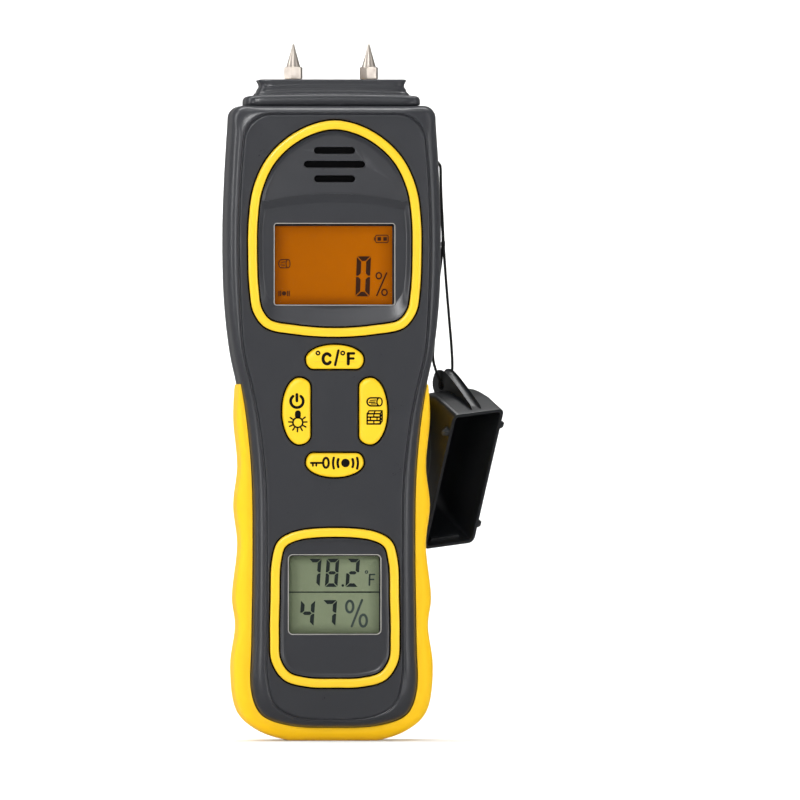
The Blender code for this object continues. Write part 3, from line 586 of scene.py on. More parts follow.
case_grey = plastic("case grey", (48, 49, 53), 0.3, bump=0.012, worn=(96, 97, 100))
trim_yellow = plastic("trim yellow", (243, 198, 26), 0.36, 5000.0, 0.006, 0.03, 0.15, (255, 236, 120),
                      coat=0.15)
key_yellow = plastic("key yellow", (244, 199, 8), 0.42, 5000.0, 0.006, 0.04, 0.2, (255, 235, 110))
grip_yellow = plastic("grip yellow", (244, 192, 0), 0.5, 4200.0, 0.012, 0.06, 0.25, (255, 226, 80),
                      specular=0.3)
print_black = plastic("print black", (8, 7, 6), 0.7, 6000.0, 0.0, 0.2, 0.0, specular=0.15)
cap_black = plastic("cap black", (22, 24, 27), 0.34, 2600.0, 0.008, 0.1, 0.3, (84, 88, 90))
pad_black = plastic("pad black", (30, 31, 33), 0.6, 1800.0, 0.04, 0.1, 0.2)
part_black = plastic("part black", (16, 16, 17), 0.5, 3000.0, 0.01, 0.1, 0.2)
# Near-black for the sheets put in gaps and behind the sound slots: painted shade.
shade_black = plastic("painted shade black", (3, 3, 4), 0.9, 2600.0, 0.0, 0.3, 0.0, specular=0.1)
part_white = plastic("part white", (224, 222, 214), 0.45, 3000.0, 0.008, 0.05, 0.1, (235, 235, 230))
board_green = plastic("board green", (4, 26, 16), 0.35, 1500.0, 0.02, 0.25, 0.2, (90, 130, 90), coat=0.3)
sensor_dark = plastic("sensor dark", (14, 14, 14), 0.5, 3000.0, 0.01, 0.1, 0.1)
foam_grey = plastic("foam grey", (44, 44, 46), 0.95, 1500.0, 0.16, 0.25, 0.0)
wire_red = plastic("wire red", (176, 20, 16), 0.4, 3000.0, 0.004, 0.06, 0.0)
wire_black = plastic("wire black", (20, 20, 20), 0.4, 3000.0, 0.004, 0.06, 0.0)
can_lacquer = plastic("can lacquer", (38, 42, 52), 0.3, 2400.0, 0.004, 0.06, 0.4, (150, 140, 120),
                      metallic=0.4, coat=0.3)
# Pale grey for the rings round the display windows: a painted highlight.
window_highlight_grey = plastic("painted window edge highlight", (160, 158, 154), 0.25, 4000.0, 0.004, 0.2, 0.0)
lcd_ink = plastic("display ink amber", (56, 26, 0), 0.4, 5000.0, 0.0, 0.15, 0.0, specular=0.2)
lcd_ink_faint = plastic("display ink amber faint", (72, 36, 0), 0.4, 5000.0, 0.0, 0.15, 0.0, specular=0.2)
grey_ink = plastic("display ink grey", (22, 34, 34), 0.35, 5000.0, 0.0, 0.15, 0.0)
grey_ink_faint = plastic("display ink grey faint", (58, 70, 66), 0.35, 5000.0, 0.0, 0.15, 0.0)
clear_window = plastic("clear window", (10, 10, 10), 0.05, 4000.0, 0.0, 0.0, 0.0, alpha=0.06, specular=0.12)
nickel = look("turned nickel", "turned", 0.004, 1.0, Colour=linear((214, 204, 194)),
              Stain_Colour=linear((192, 178, 166)), Roughness=0.26)
zinc = look("zinc plate", "turned", 0.004, 1.0, Colour=linear((168, 168, 170)),
            Stain_Colour=linear((110, 104, 96)), Roughness=0.3)
brass = look("turned brass", "turned", 0.004, 1.0, Colour=linear((204, 164, 88)),
             Stain_Colour=linear((130, 92, 40)), Roughness=0.22)
copper = look("copper foil", "turned", 0.004, 1.0, Colour=linear((206, 134, 96)),
              Stain_Colour=linear((120, 70, 46)), Roughness=0.3)
cord_black = look("cord black", "braid", 0.05, Colour=linear((13, 13, 13)))
amber_film = look(
    "amber display", "film", glow=0.2, specular=0.05,
    Colour=linear((170, 92, 0)), Edge_Colour=linear((138, 70, 0)),
    Middle=(0, 0, sum(UPPER_VIEW[1:]) / 2 * MM), Half_Width=UPPER_VIEW[0] * MM,
    Half_Height=(UPPER_VIEW[2] - UPPER_VIEW[1]) / 2 * MM,
)
grey_film = look(
    "grey display", "film", specular=0.2, Colour=linear((136, 147, 118)), Edge_Colour=linear((104, 114, 88)),
    Middle=(0, 0, sum(LOWER_VIEW[1:]) / 2 * MM), Half_Width=LOWER_VIEW[0] * MM,
    Half_Height=(LOWER_VIEW[2] - LOWER_VIEW[1]) / 2 * MM,
)

# ---------------------------------------------------------------- case


def front_shell():
    """The front half: rounded side, raised rim, sunk face, ring channels, display fields and openings."""
    side = [(-0.15, 0, -0.45), (-0.2, 0, -0.2), (-0.45, 0, -0.03), (-0.8, 0, 0)]
    side += [(-10.6, 0, 0), (-11.8, 0.008, 0), (-12.8, 0.035, 0), (-13.7, 0.085, 0), (-14.5, 0.16, 0)]
    side += [(-15.2, 0.26, 0), (-15.8, 0.38, 0), (-16.3, 0.52, 0), (-16.68, 0.66, 0), (-16.92, 0.8, 0)]
    side += [(RIM_Y, 0.89, 0), (-16.99, 0.94, 0), (-16.88, 0.98, 0), (-16.6, 1, -0.02), (-16.38, 1, -0.14)]
    side += [(-16.34, 1, -0.3), (-16.42, 1, -0.46), (-16.62, 1, -0.6), (-16.78, 1, -0.76), (-16.84, 1, -0.98)]
    side += [(-16.82, 1, -1.3), (-16.77, 1, -2.2), (FACE_Y, 1, -4)]
    inner = offset(HOUSING, -WALL)
    loops = [at_y(offset(PANEL, -1.2), INSIDE_Y), at_y(inner, -11.5), at_y(inner, 0.95)]
    loops += [at_y(offset(HOUSING, -1.3), 0.95), at_y(offset(HOUSING, -1.25), -0.15)]
    loops += [at_y(offset(between(HOUSING, PANEL, share), grow), y) for y, share, grow in side]
    shell = skin("front_shell", loops)
    cutters = []
    for ring in (UPPER_RING, LOWER_RING):
        outer = [(OUTSIDE_Y, 0.5), (FACE_Y - 0.1, 0.25), (FACE_Y + 0.12, 0), (-15.7, 0)]
        loops = [at_y(offset(ring, RING_GAP + grow), y) for y, grow in outer]
        loops += [at_y(offset(ring, -RING_WIDTH - RING_GAP - grow), y) for y, grow in reversed(outer)]
        cutters.append(skin("ring_channel", loops, ring=True))
    cutters += [display_field(), arch_field(), lower_field()]
    cutters.append(view_cutter("upper_view", UPPER_VIEW, 0.7, FIELD_Y))
    cutters.append(view_cutter("lower_view", LOWER_VIEW, 1.3, FACE_Y + 0.55))
    for half, z in SLOTS:
        right = ellipse(half - 1.07, z, 1.07, 1.07, -90, 90, 10)
        outline = right + [(-x, h) for x, h in reversed(right)]
        start = arch_floor(z)
        levels = [(OUTSIDE_Y, 0.5), (start, 0.3), (start + 0.12, 0.08), (start + 0.3, 0), (INSIDE_Y + 1, 0)]
        cutters.append(slab("slot", outline, levels))
    for key in KEYS:
        cutters.append(flared(f"{key}_hole", key_outline(key, 0.5), INSIDE_Y + 1, 0.25))
    cutters.append(block("head_opening", (-25.3, 25.3), (-9.3, 9.3), (CASE_TOP - 4, CASE_TOP + 2), 0.1))
    return carve(shell, cutters)


def view_cutter(name, view, corner, level):
    outline = rectangle(view, corner)
    levels = [(OUTSIDE_Y, 0.55), (level - 0.05, 0.42), (level + 0.1, 0.32), (level + 0.4, 0),
              (INSIDE_Y + 1, 0)]
    return slab(name, outline, levels)


def crease(x, half):
    return CREST - CREST_DROP * (x / half) ** 2


def display_field():
    """The field round the upper display: narrow side walls, a wide slope below, and a creased upper edge."""
    rim = offset(UPPER_RING, -RING_WIDTH - 0.5)
    half = max(x for x, z in rim if abs(z - CREST) < 4)
    right = [(x, z) for x, z in rim if x >= 0 and z < CREST - CREST_DROP - 0.5]
    top = [(half * (1 - i / 12), crease(half * (1 - i / 12), half)) for i in range(13)]
    field = mirrored(right + top)
    foot = rim[0][1]
    lift = (CREST - 3.6 - UPPER_VIEW[1] + 1.0) / (CREST - foot)
    floor = [(x * 0.935, CREST - 3.6 - (CREST - z) * lift) for x, z in field]
    loops = [at_y(field, OUTSIDE_Y), at_y(field, FACE_Y)]
    for share in (0.06, 0.16, 0.3, 0.5, 0.7, 0.84, 0.94, 1.0):
        depth = share * share * (3 - 2 * share) * 0.5 + share * 0.5
        loops.append(at_y(between(field, floor, share), FACE_Y + (FIELD_Y - FACE_Y) * depth))
    return skin("display_field", loops)


def arch_field():
    """The field under the sound slots, which deepens towards the top of the ring."""
    rim = offset(UPPER_RING, -RING_WIDTH - 0.5)
    top = max(z for x, z in rim)
    half = max(x for x, z in rim if abs(z - CREST) < 4)
    right = [(half * i / 12, crease(half * i / 12, half) - 0.6) for i in range(12)]
    right += [(x, z) for x, z in rim if x >= 0 and z > CREST - CREST_DROP - 0.6]
    field = mirrored(right)
    loops = [at_y(field, OUTSIDE_Y)]
    for share, inset in ((0.0, 0.0), (0.15, 0.12), (0.5, 0.5), (0.82, 0.95), (0.96, 1.3), (1.0, 1.7)):
        loop = []
        for x, z in field:
            x_in = x * (1 - inset / half)
            z_in = crease(x, half) + (z - crease(x, half)) * (1 - inset / (top - CREST))
            floor = arch_floor(z_in)
            loop.append((x_in, FACE_Y + (floor - FACE_Y) * share, z_in))
        loops.append(loop)
    return skin("arch_field", loops)


def arch_floor(z):
    return -16.3 + max(0.0, z - CREST) * 0.062


def lower_field():
    """The shallow field inside the lower ring."""
    outline = offset(LOWER_RING, -RING_WIDTH - 0.55)
    levels = [(OUTSIDE_Y, 0), (FACE_Y, 0), (FACE_Y + 0.12, -0.1), (FACE_Y + 0.42, -0.75),
              (FACE_Y + 0.52, -1.1),
              (FACE_Y + 0.55, -1.6)]
    return slab("lower_field", outline, levels)


def rear_shell():
    """The back half: rounded edges, screw wells, battery tray, pad opening and the cord's eye."""
    side = [(0.15, 0, -0.45), (0.2, 0, -0.2), (0.45, 0, -0.03), (0.8, 0, 0), (8.6, 0, 0), (9.8, 0.02, 0)]
    side += [(11.0, 0.07, 0), (12.1, 0.16, 0), (13.2, 0.29, 0), (14.2, 0.43, 0), (15.2, 0.6, 0)]
    side += [(16.0, 0.76, 0), (16.6, 0.9, 0), (16.9, 0.98, 0), (17.0, 1, -0.8), (17.0, 1, -3)]
    inner, back = offset(HOUSING, -WALL), offset(PANEL, -1.4)
    loops = [at_y(back, 14.8), at_y(between(inner, back, 0.35), 11.6), at_y(inner, 8.7), at_y(inner, 1.3)]
    loops += [at_y(offset(HOUSING, -1.0), 1.25), at_y(offset(HOUSING, -1.0), 0.15)]
    loops += [at_y(offset(between(HOUSING, PANEL, share), grow), y) for y, share, grow in side]
    shell = skin("rear_shell", loops)
    half, low, high = DOOR
    additions = [
        block("battery_tray", (-15.5, 15.5), (-6.7, 14.4), (12.0, 72.8), 0.4),
        block("door_frame", (-18, 18), (13.0, 15.5), (low - 1.6, high + 1.6), 0.3),
    ]
    lug = [(31.5, 13), (32, 8), (33.9, 8), (35.7, 13.8), (35.9, 14.8), (35.9, 18.9), (35.4, 19.4),
           (33.8, 19.4),
           (33.3, 18.9), (33.3, 15.6), (33.0, 14.8)]
    steps = ((-3.0, -0.3), (-2.9, -0.1), (-2.65, 0), (2.65, 0), (2.9, -0.1), (3.0, -0.3))
    additions.append(skin("cord_lug", [[(x, y, EYE.z + z) for x, y in offset(lug, grow)] for z,
                                       grow in steps]))
    opening = rectangle((half + 0.3, low - 0.3, high + 0.3), 0.6)
    cutters = [
        slab("battery_space", rectangle((13.9, 13.6, 71.2), 0.8), [(-5.6, 0), (16, 0)]),
        slab("door_space", opening, [(14.4, 0), (16.75, 0), (16.95, 0.12), (18, 0.5)]),
        block("lead_slot", (-6, 6), (-4, 2), (70, 74), 0.2),
        block("head_opening", (-25.3, 25.3), (-9.3, 9.3), (CASE_TOP - 4, CASE_TOP + 2), 0.1),
        turned("eye", [(0, -3), (1.5, -3), (1.5, -1.3), (1.3, -1.15), (1.2, -0.8), (1.2, 0.8), (1.3, 1.15),
                       (1.5, 1.3), (1.5, 3), (0, 3)], EYE, (1, 0, 0), 32),
        slab("pad_space", rectangle((PAD[0] + 0.3, PAD[1] - 0.3, PAD[2] + 0.3), 0.8),
             [(13.8, 0), (16.7, 0), (16.95, 0.15), (18, 0.6)]),
    ]
    for x in (-10, 10):
        cutters.append(block("tab_notch", (x - 2.8, x + 2.8), (12.4, 15.5), (low - 1.2, 14), 0.1))
    for x, z in SCREWS:
        additions.append(rod("screw_tube", (x, 0.5, z), (x, 15.6, z), 4.4))
        well = [(0, -14), (3.9, -14), (3.7, -13.05), (3.3, -12.7), (3.0, -12.5), (3.0, 0), (1.7, 0),
                (1.7, 5), (0, 5)]
        cutters.append(turned("screw_well", well, (x, 4, z), (0, -1, 0), 32))
    return carve(shell, cutters, additions)


def trim_ring(name, ring):
    half = RING_WIDTH / 2
    loops = [at_y(ring, -15.9)]
    for i in range(11):
        angle = math.pi * i / 10
        reach = half - half * math.copysign(abs(math.cos(angle)) ** 0.75, math.cos(angle))
        loops.append(at_y(offset(ring, -reach), -17.0 - 0.6 * math.sin(angle) ** 0.8))
    loops.append(at_y(offset(ring, -RING_WIDTH), -15.9))
    return skin(name, loops, ring=True, sharp=60)


def soft_grip():
    """Rubber wrapped round the sides and the bottom of the handle, in stations from end to end."""
    curve = smooth(GRIP_SIDE[1:], FINE, GRIP_SIDE[0], (GRIP_SIDE[-1][0], GRIP_TOP + 5))
    right = [(14 * i / 6, 0.0) for i in range(6)] + [(x, max(z, 0.0)) for x, z in curve]
    outer = [(-x, z) for x, z in reversed(right[1:])] + right
    section = [
        (-13.2, -0.05), (-13.15, 0.12), (-12.9, 0.38), (-12.4, 0.62), (-11.6, 0.83), (-10.6, 0.96),
        (-9.4, 1.0), (-4, 1.0), (2, 1.0), (6.6, 1.0), (7.7, 0.95), (8.7, 0.82), (9.5, 0.6), (10.0, 0.35),
        (10.2, 0.1), (10.2, -0.05),
    ]
    loops = []
    wall = offset(HOUSING, 0.2)
    for x, z in outer:
        base = nearest(wall, (x, z))
        full = Vector((x, z))
        height = (full - base).length
        fade = min(1.0, max(0.0, (GRIP_TOP - z) / 1.6))
        fade = math.sqrt(1 - (1 - fade) ** 2)
        lip = min(0.8, height * 0.5)
        loop = []
        for y, share in section:
            reach = lip + (height - lip) * share if share > 0 else share * 4
            point = base + (full - base).normalized() * reach * (0.55 + 0.45 * fade if share > 0 else 1)
            loop.append((point.x, y, point.y))
        loops.append(loop)
    return skin("soft_grip", loops, sharp=50)


def nearest(outline, point):
    """The nearest point on a closed outline."""
    best, shortest = None, math.inf
    point = Vector(point)
    for a, b in zip(outline, outline[1:] + outline[:1]):
        a, b = Vector(a), Vector(b)
        share = max(0.0, min(1.0, (point - a).dot(b - a) / (b - a).length_squared))
        found = a + (b - a) * share
        if (found - point).length < shortest:
            best, shortest = found, (found - point).length
    return best


def head_block():
    """The stepped head: half width, half depth, corner, height and the arch of the line's middle."""
    steps = [
        (24.8, 8.9, 1.5, 203.2, 0), (24.8, 8.9, 1.5, 206.05, 0.0), (27.2, 11.5, 3.2, 206.06, 0.0),
        (27.95, 12.2, 3.5, 206.12, 0.0), (28.3, 12.5, 3.6, 206.35, 0.2), (28.4, 12.6, 3.7, 207.0, 0.4),
        (28.3, 12.5, 3.7, 208.1, 0.45), (27.95, 12.2, 3.5, 208.75, 0.5), (27.2, 11.6, 3.3, 209.15, 0.5),
        (26.0, 10.7, 3.0, 209.3, 0.5), (25.1, 9.95, 2.8, 209.4, 0.55), (24.9, 9.75, 2.7, 209.6, 0.6),
        (24.8, 9.68, 2.7, 209.9, 0.65), (24.6, 9.5, 2.6, 210.15, 0.65), (24.25, 9.15, 2.5, 210.4, 0.65),
        (24.05, 9.05, 2.5, 210.8, 0.65), (23.95, 9.0, 2.5, 211.3, 0.65), (23.6, 8.75, 2.4, 211.75, 0.6),
        (23.35, 8.55, 2.4, 212.2, 0.5), (23.35, 8.5, 2.4, 212.8, 0.25), (23.6, 8.5, 2.4, 213.4, 0.05),
        (23.95, 8.5, 2.4, 213.9, 0), (24.05, 8.5, 2.4, 214.25, 0), (23.85, 8.35, 2.3, 214.5, 0),
        (23.4, 8.0, 2.2, 214.6, 0), (22.6, 7.2, 2.0, 214.6, 0),
    ]
    loops = []
    for half_x, half_y, corner, z, arch in steps:
        outline = dense(rounded_rectangle(half_x, half_y, corner, 7), 1.6)
        loops.append([(x, y, z + arch * (1 - (x / half_x) ** 2)) for x, y in outline])
    count = min(len(loop) for loop in loops)
    loops = [evenly(loop, count) for loop in loops]
    head = skin("head_block", loops, sharp=50)
    bores = [rod("bore", (x, 0, 202.5), (x, 0, 216), 3.3) for x in (-PIN_X, PIN_X)]
    return carve(head, bores, sharp=50)


def dense(outline, spacing):
    """The outline with its long straight runs divided."""
    points = []
    for a, b in zip(outline, outline[1:] + outline[:1]):
        parts = max(1, round((Vector(b) - Vector(a)).length / spacing))
        points += [tuple(Vector(a).lerp(Vector(b), i / parts)) for i in range(parts)]
    return points


def evenly(loop, count):
    """The loop with the same share of its length between all points, starting at its first."""
    points = [Vector(p) for p in loop] + [Vector(loop[0])]
    lengths = [0.0]
    for a, b in zip(points, points[1:]):
        lengths.append(lengths[-1] + (b - a).length)
    found, i = [], 0
    for n in range(count):
        wanted = lengths[-1] * n / count
        while lengths[i + 1] < wanted:
            i += 1
        share = (wanted - lengths[i]) / max(lengths[i + 1] - lengths[i], 1e-9)
        found.append(points[i].lerp(points[i + 1], share))
    return found


def needle(name, x):
    """A screw-in pin: threaded stud, hexagon with softened corners, and a slim cone."""
    base, top = 214.9, 218.7
    profile = [(0, 207.6), (1.15, 207.6), (1.45, 208.0)]
    turns = 16
    for i in range(turns + 1):
        z = 208.2 + i * 0.38
        profile += [(1.45, z), (1.22, z + 0.19)]
    profile += [(1.45, base - 0.2), (2.6, base - 0.15), (2.75, base, "hex"), (2.75, top - 0.12, "hex")]
    profile += [(2.7, top), (2.4, top + 0.03), (2.3, top + 0.05), (2.2, top + 0.35), (1.62, top + 2.4),
                (0.95, top + 4.75), (0.3, top + 7.3), (0, top + 7.78)]
    return turned(name, profile, (x, 0, 0), (0, 0, 1), 60, 25)


# ---------------------------------------------------------------- keys, displays and marks


def key_top(key):
    outline = key_outline(key)
    flange = key_outline(key, 0.9)
    levels = [(KEY_TOP_Y, -2.4), (KEY_TOP_Y + 0.01, -1.7), (KEY_TOP_Y + 0.06, -1.1),
              (KEY_TOP_Y + 0.17, -0.66)]
    levels += [(KEY_TOP_Y + 0.34, -0.34), (KEY_TOP_Y + 0.58, -0.13), (KEY_TOP_Y + 0.9, -0.02), (-16.2, 0),
               (-14.4, 0)]
    loops = [at_y(offset(outline, grow), y) for y, grow in levels]
    loops += [at_y(flange, -14.4), at_y(flange, -13.2)]
    return skin(f"{key}_key_top", loops, sharp=50)


INK_SPREAD = 1.22  # printed lines run a little wider than drawn


def stroke(points, width, closed=False):
    """The outline, or the outer and inner outlines, of a stroke with round ends."""
    half = width / 2 * INK_SPREAD
    if closed:
        ring = points[:-1]
        return offset(ring, half), offset(ring, -half)
    vectors = [Vector(p) for p in points]
    left, right = [], []
    for i, p in enumerate(vectors):
        ahead = (vectors[min(i + 1, len(vectors) - 1)] - vectors[max(i - 1, 0)]).normalized()
        normal = Vector((-ahead.y, ahead.x))
        left.append(p + normal * half)
        right.append(p - normal * half)
    far_end = round_end(vectors[-1], vectors[-2], half)
    near_end = round_end(vectors[0], vectors[1], half)
    outline = right + far_end + left[::-1] + near_end
    return ([tuple(p) for p in outline],)


def round_end(tip, before, half):
    heading = math.atan2(tip.y - before.y, tip.x - before.x)
    turns = [heading - math.pi / 2 + math.pi * i / 6 for i in range(1, 6)]
    return [tip + Vector((math.cos(a), math.sin(a))) * half for a in turns]


def marks(name, shapes, y, thick=0.05):
    """Thin flat shapes at depth y as one mesh, for print, display figures and black sheets of painted shade;
    each shape is one outline, or an outer and an inner one.
    """
    vertices, faces = [], []
    for shape in shapes:
        start, count = len(vertices), len(shape[0])
        for outline in shape:
            vertices += at_y(outline, y - thick / 2) + at_y(outline, y + thick / 2)
        for i in range(count):
            j = (i + 1) % count
            faces.append((start + i, start + j, start + count + j, start + count + i))
            if len(shape) == 2:
                inner = start + 2 * count
                faces.append((inner + i, inner + j, inner + count + j, inner + count + i))
                faces.append((start + i, start + j, inner + j, inner + i))
                faces.append((start + count + i, start + count + j, inner + count + j, inner + count + i))
        if len(shape) == 1:
            faces += [list(range(start, start + count)), list(range(start + count, start + 2 * count))]
    return mesh_object(name, vertices, faces, 30)


def line(x0, z0, x1, z1, width):
    return stroke([(x0, z0), (x1, z1)], width)


def hoop(x, z, radius_x, radius_z, width):
    return stroke(ellipse(x, z, radius_x, radius_z), width, closed=True)


def arc(x, z, radius_x, radius_z, start, end, width):
    return stroke(ellipse(x, z, radius_x, radius_z, start, end, 18), width)


def disc(x, z, radius):
    return (ellipse(x, z, radius, radius)[:-1],)


SEGMENTS = {"0": "abcdef", "2": "abged", "4": "fgbc", "7": "abc", "8": "abcdefg"}


def digit(value, x, z, width, height, thick, lean=0.05):
    """Seven-segment figure with its lower left corner at (x, z); segments taper to mitred ends."""
    w, h, t, g = width, height, thick, thick * 0.15
    m = h / 2
    shapes = {
        "a": [(g, h), (w - g, h), (w - t - g, h - t), (t + g, h - t)],
        "d": [(g, 0), (w - g, 0), (w - t - g, t), (t + g, t)],
        "b": [(w, h - g), (w, m + g), (w - t * 0.5, m + g), (w - t, m + t * 0.5 + g), (w - t, h - t - g)],
        "c": [(w, g), (w, m - g), (w - t * 0.5, m - g), (w - t, m - t * 0.5 - g), (w - t, t + g)],
        "f": [(0, h - g), (0, m + g), (t * 0.5, m + g), (t, m + t * 0.5 + g), (t, h - t - g)],
        "e": [(0, g), (0, m - g), (t * 0.5, m - g), (t, m - t * 0.5 - g), (t, t + g)],
        "g": [(t * 0.5 + g, m), (t + g, m + t * 0.45), (w - t - g, m + t * 0.45), (w - t * 0.5 - g, m),
              (w - t - g, m - t * 0.45), (t + g, m - t * 0.45)],
    }
    return [([(x + u + v * lean, z + v) for u, v in shapes[s]],) for s in SEGMENTS[value]]


def key_marks():
    y = KEY_TOP_Y
    unit = [
        hoop(-5.55, 125.7, 0.55, 0.55, 0.42), arc(-2.6, 123.85, 1.3, 1.66, 40, 320, 0.84),
        line(0.05, 121.85, 1.1, 126.55, 0.66), hoop(2.5, 125.7, 0.55, 0.55, 0.42),
        line(4.3, 122.2, 4.3, 125.55, 0.84), line(4.3, 125.6, 6.15, 125.6, 0.7),
        line(4.3, 123.95, 6.0, 123.95, 0.64),
    ]
    power = [
        arc(-12.38, 110.1, 2.05, 2.05, 128, 412, 0.76), line(-12.4, 110.2, -12.4, 112.3, 0.76),
        line(-12.08, 105.4, -12.08, 106.2, 1.6), hoop(-12.08, 103.2, 1.6, 1.6, 0.46),
    ]
    for angle in (147, 176, 205, 236, 267, 299, 331, 4, 36):
        turn = math.radians(angle)
        start, end = ((-12.08 + r * math.cos(turn), 103.2 + r * math.sin(turn)) for r in (2.05, 2.95))
        power.append(line(*start, *end, 0.42))
    material = [
        stroke([(x, z) for x, z in ellipse(11.7, 109.9, 1.3, 1.3, 90, 270, 10)], 0.44),
        line(11.7, 111.2, 14.4, 111.2, 0.42), line(11.7, 108.6, 14.4, 108.6, 0.42),
        hoop(14.45, 109.9, 0.85, 1.3, 0.38), line(11.4, 110.35, 13.2, 110.5, 0.28),
        line(11.1, 109.75, 13.0, 109.8, 0.36), line(11.7, 109.2, 13.3, 109.25, 0.28),
    ]
    left, right, shift = 10.45, 14.7, 0.62
    for z in (102.75, 103.85, 104.95, 106.05):
        material.append(line(left, z, right, z, 0.44))
        material.append(line(right, z, right + shift, z + 0.95, 0.36))
    material += [
        line(left, 102.75, left, 106.05, 0.4), line(right, 102.75, right, 106.05, 0.42),
        line(left, 106.05, left + shift, 107.0, 0.38), line(left + shift, 107.0, right + shift, 107.0, 0.36),
        line(right + shift, 103.7, right + shift, 107.0, 0.36), line(12.6, 106.05, 13.1, 107.0, 0.34),
    ]
    for x, z in ((12.6, 102.75), (11.5, 103.85), (13.65, 103.85), (12.6, 104.95)):
        material.append(line(x, z, x, z + 1.1, 0.34))
    hold = [
        line(-7.8, 90.1, -4.1, 90.1, 0.56), line(-7.2, 90.1, -7.2, 89.2, 0.5),
        line(-6.1, 90.1, -6.1, 89.2, 0.5),
        hoop(-2.95, 90.15, 0.9, 1.6, 0.62), disc(3.38, 90.1, 1.4),
    ]
    for side in (-1, 1):
        hold.append(stroke([(3.38 + side * x, 90.05 + z) for x,
                            z in ellipse(0, 0, 2.55, 2.9, -26, 26, 10)], 0.66))
        hold.append(stroke([(3.38 + side * x, 90.05 + z) for x,
                            z in ellipse(0, 0, 4.05, 4.6, -22, 22, 10)], 0.62))
    return {"unit": marks("unit_marks", unit, y), "power": marks("power_marks", power, y),
            "material": marks("material_marks", material, y), "hold": marks("hold_marks", hold, y)}


def shade_ring_sheet(name, inner, outer, y):
    """A thin black ring at the bottom of the gap round a key or a trim ring: painted shade standing in for
    the darkness of the gap.
    """
    return marks(name, [(outer, inner)], y, 0.1)


def upper_figures():
    """What the upper display shows: a nought, a per cent sign and small signs along its edges."""
    dark = digit("0", 6.95, 144.1, 4.6, 13.0, 1.5, 0.035)
    dark += [line(13.9, 144.4, 17.1, 151.7, 0.42), hoop(14.55, 150.8, 0.85, 0.98, 0.4),
             hoop(16.4, 145.4, 0.85, 0.98, 0.4)]
    dark += [disc(-16.25, 145.05, 0.7)]
    for x in (14.7, 16.6):
        dark.append(([(x - 0.6, 162.15), (x + 0.6, 162.15), (x + 0.6, 163.35), (x - 0.6, 163.35)],))
    faint = []
    frame_line = rounded_rectangle(2.05, 1.2, 0.5, 3)
    faint.append(stroke([(15.55 + x, 162.75 + z) for x, z in frame_line + frame_line[:1]], 0.26, closed=True))
    faint.append(line(13.1, 162.3, 13.1, 163.2, 0.25))
    for x in (-17.9, -17.35, -15.1, -14.55):
        faint.append(line(x, 144.3, x, 145.8, 0.3))
    faint += [
        stroke(ellipse(-17.0, 154.7, 1.0, 1.35, 90, 270, 8), 0.28), line(-17.0, 156.05, -15.2, 156.05, 0.26),
        line(-17.0, 153.35, -15.2, 153.35, 0.26), hoop(-14.95, 154.7, 0.65, 1.35, 0.26),
        line(-17.1, 155.1, -15.9, 155.3, 0.24), line(-17.2, 154.3, -16.1, 154.2, 0.24),
    ]
    return marks("upper_figures", dark, -13.27), marks("upper_small_signs", faint, -13.27)


def lower_figures():
    """What the lower display shows: temperature over humidity, with a line between."""
    dark = []
    for value, x in (("7", -8.8), ("8", -3.0), ("2", 3.7)):
        dark += digit(value, x, 49.9, 4.1, 9.1, 1.15, 0.07)
    for value, x in (("4", -11.3), ("7", -4.2)):
        dark += digit(value, x, 37.1, 4.6, 8.5, 1.25, 0.07)
    dark.append(disc(2.85, 50.35, 0.42))
    dark.append(([(-15.6, 48.0), (15.6, 48.0), (15.6, 48.4), (-15.6, 48.4)],))
    faint = [
        hoop(5.1, 43.5, 1.15, 1.85, 0.66), hoop(9.5, 38.95, 1.15, 1.9, 0.66),
        line(5.75, 37.1, 9.1, 45.6, 0.6),
        hoop(10.55, 54.7, 0.4, 0.4, 0.26), line(11.5, 50.5, 11.6, 53.8, 0.46),
        line(11.6, 53.9, 13.2, 53.9, 0.4),
        line(11.6, 52.3, 12.9, 52.3, 0.4),
    ]
    return marks("lower_figures", dark, -13.27), marks("lower_faint_figures", faint, -13.27)


def window_highlight(name, view, corner, level):
    """A pale ring round a clear window's opening where it meets the case: a painted highlight of the window's
    edge.
    """
    outline = rectangle(view, corner)
    loops = []
    for y, grow in ((level + 0.02, 0.3), (level - 0.02, 0.2), (level + 0.03, 0.06), (level + 0.3, 0.0),
                    (level + 0.3, 0.28)):
        loops.append(at_y(offset(outline, grow), y))
    return skin(name, loops, ring=True)


def painted_shadow_frame(name, view, border):
    """A thin black frame between a window and its display, widest at the top and right: painted shadow of the
    window's edge on the display. Border is left, right, bottom and top.
    """
    half, low, high = view
    left, right, bottom, top = border
    outer = [(-half - 0.15, low - 0.15), (half + 0.15, low - 0.15), (half + 0.15, high + 0.15),
             (-half - 0.15, high + 0.15)]
    inner = [(-half + left, low + bottom), (half - right, low + bottom), (half - right, high - top),
             (-half + left, high - top)]
    return marks(name, [(outer, inner)], -13.4, 0.08)


# ---------------------------------------------------------------- pin cover and cord


def cap_place(across, along, depth):
    """A point given in the pin cover's own directions, from the middle of its mouth."""
    return CAP_MOUTH + CAP_ACROSS * across + CAP_ALONG * along + CAP_DEPTH * depth


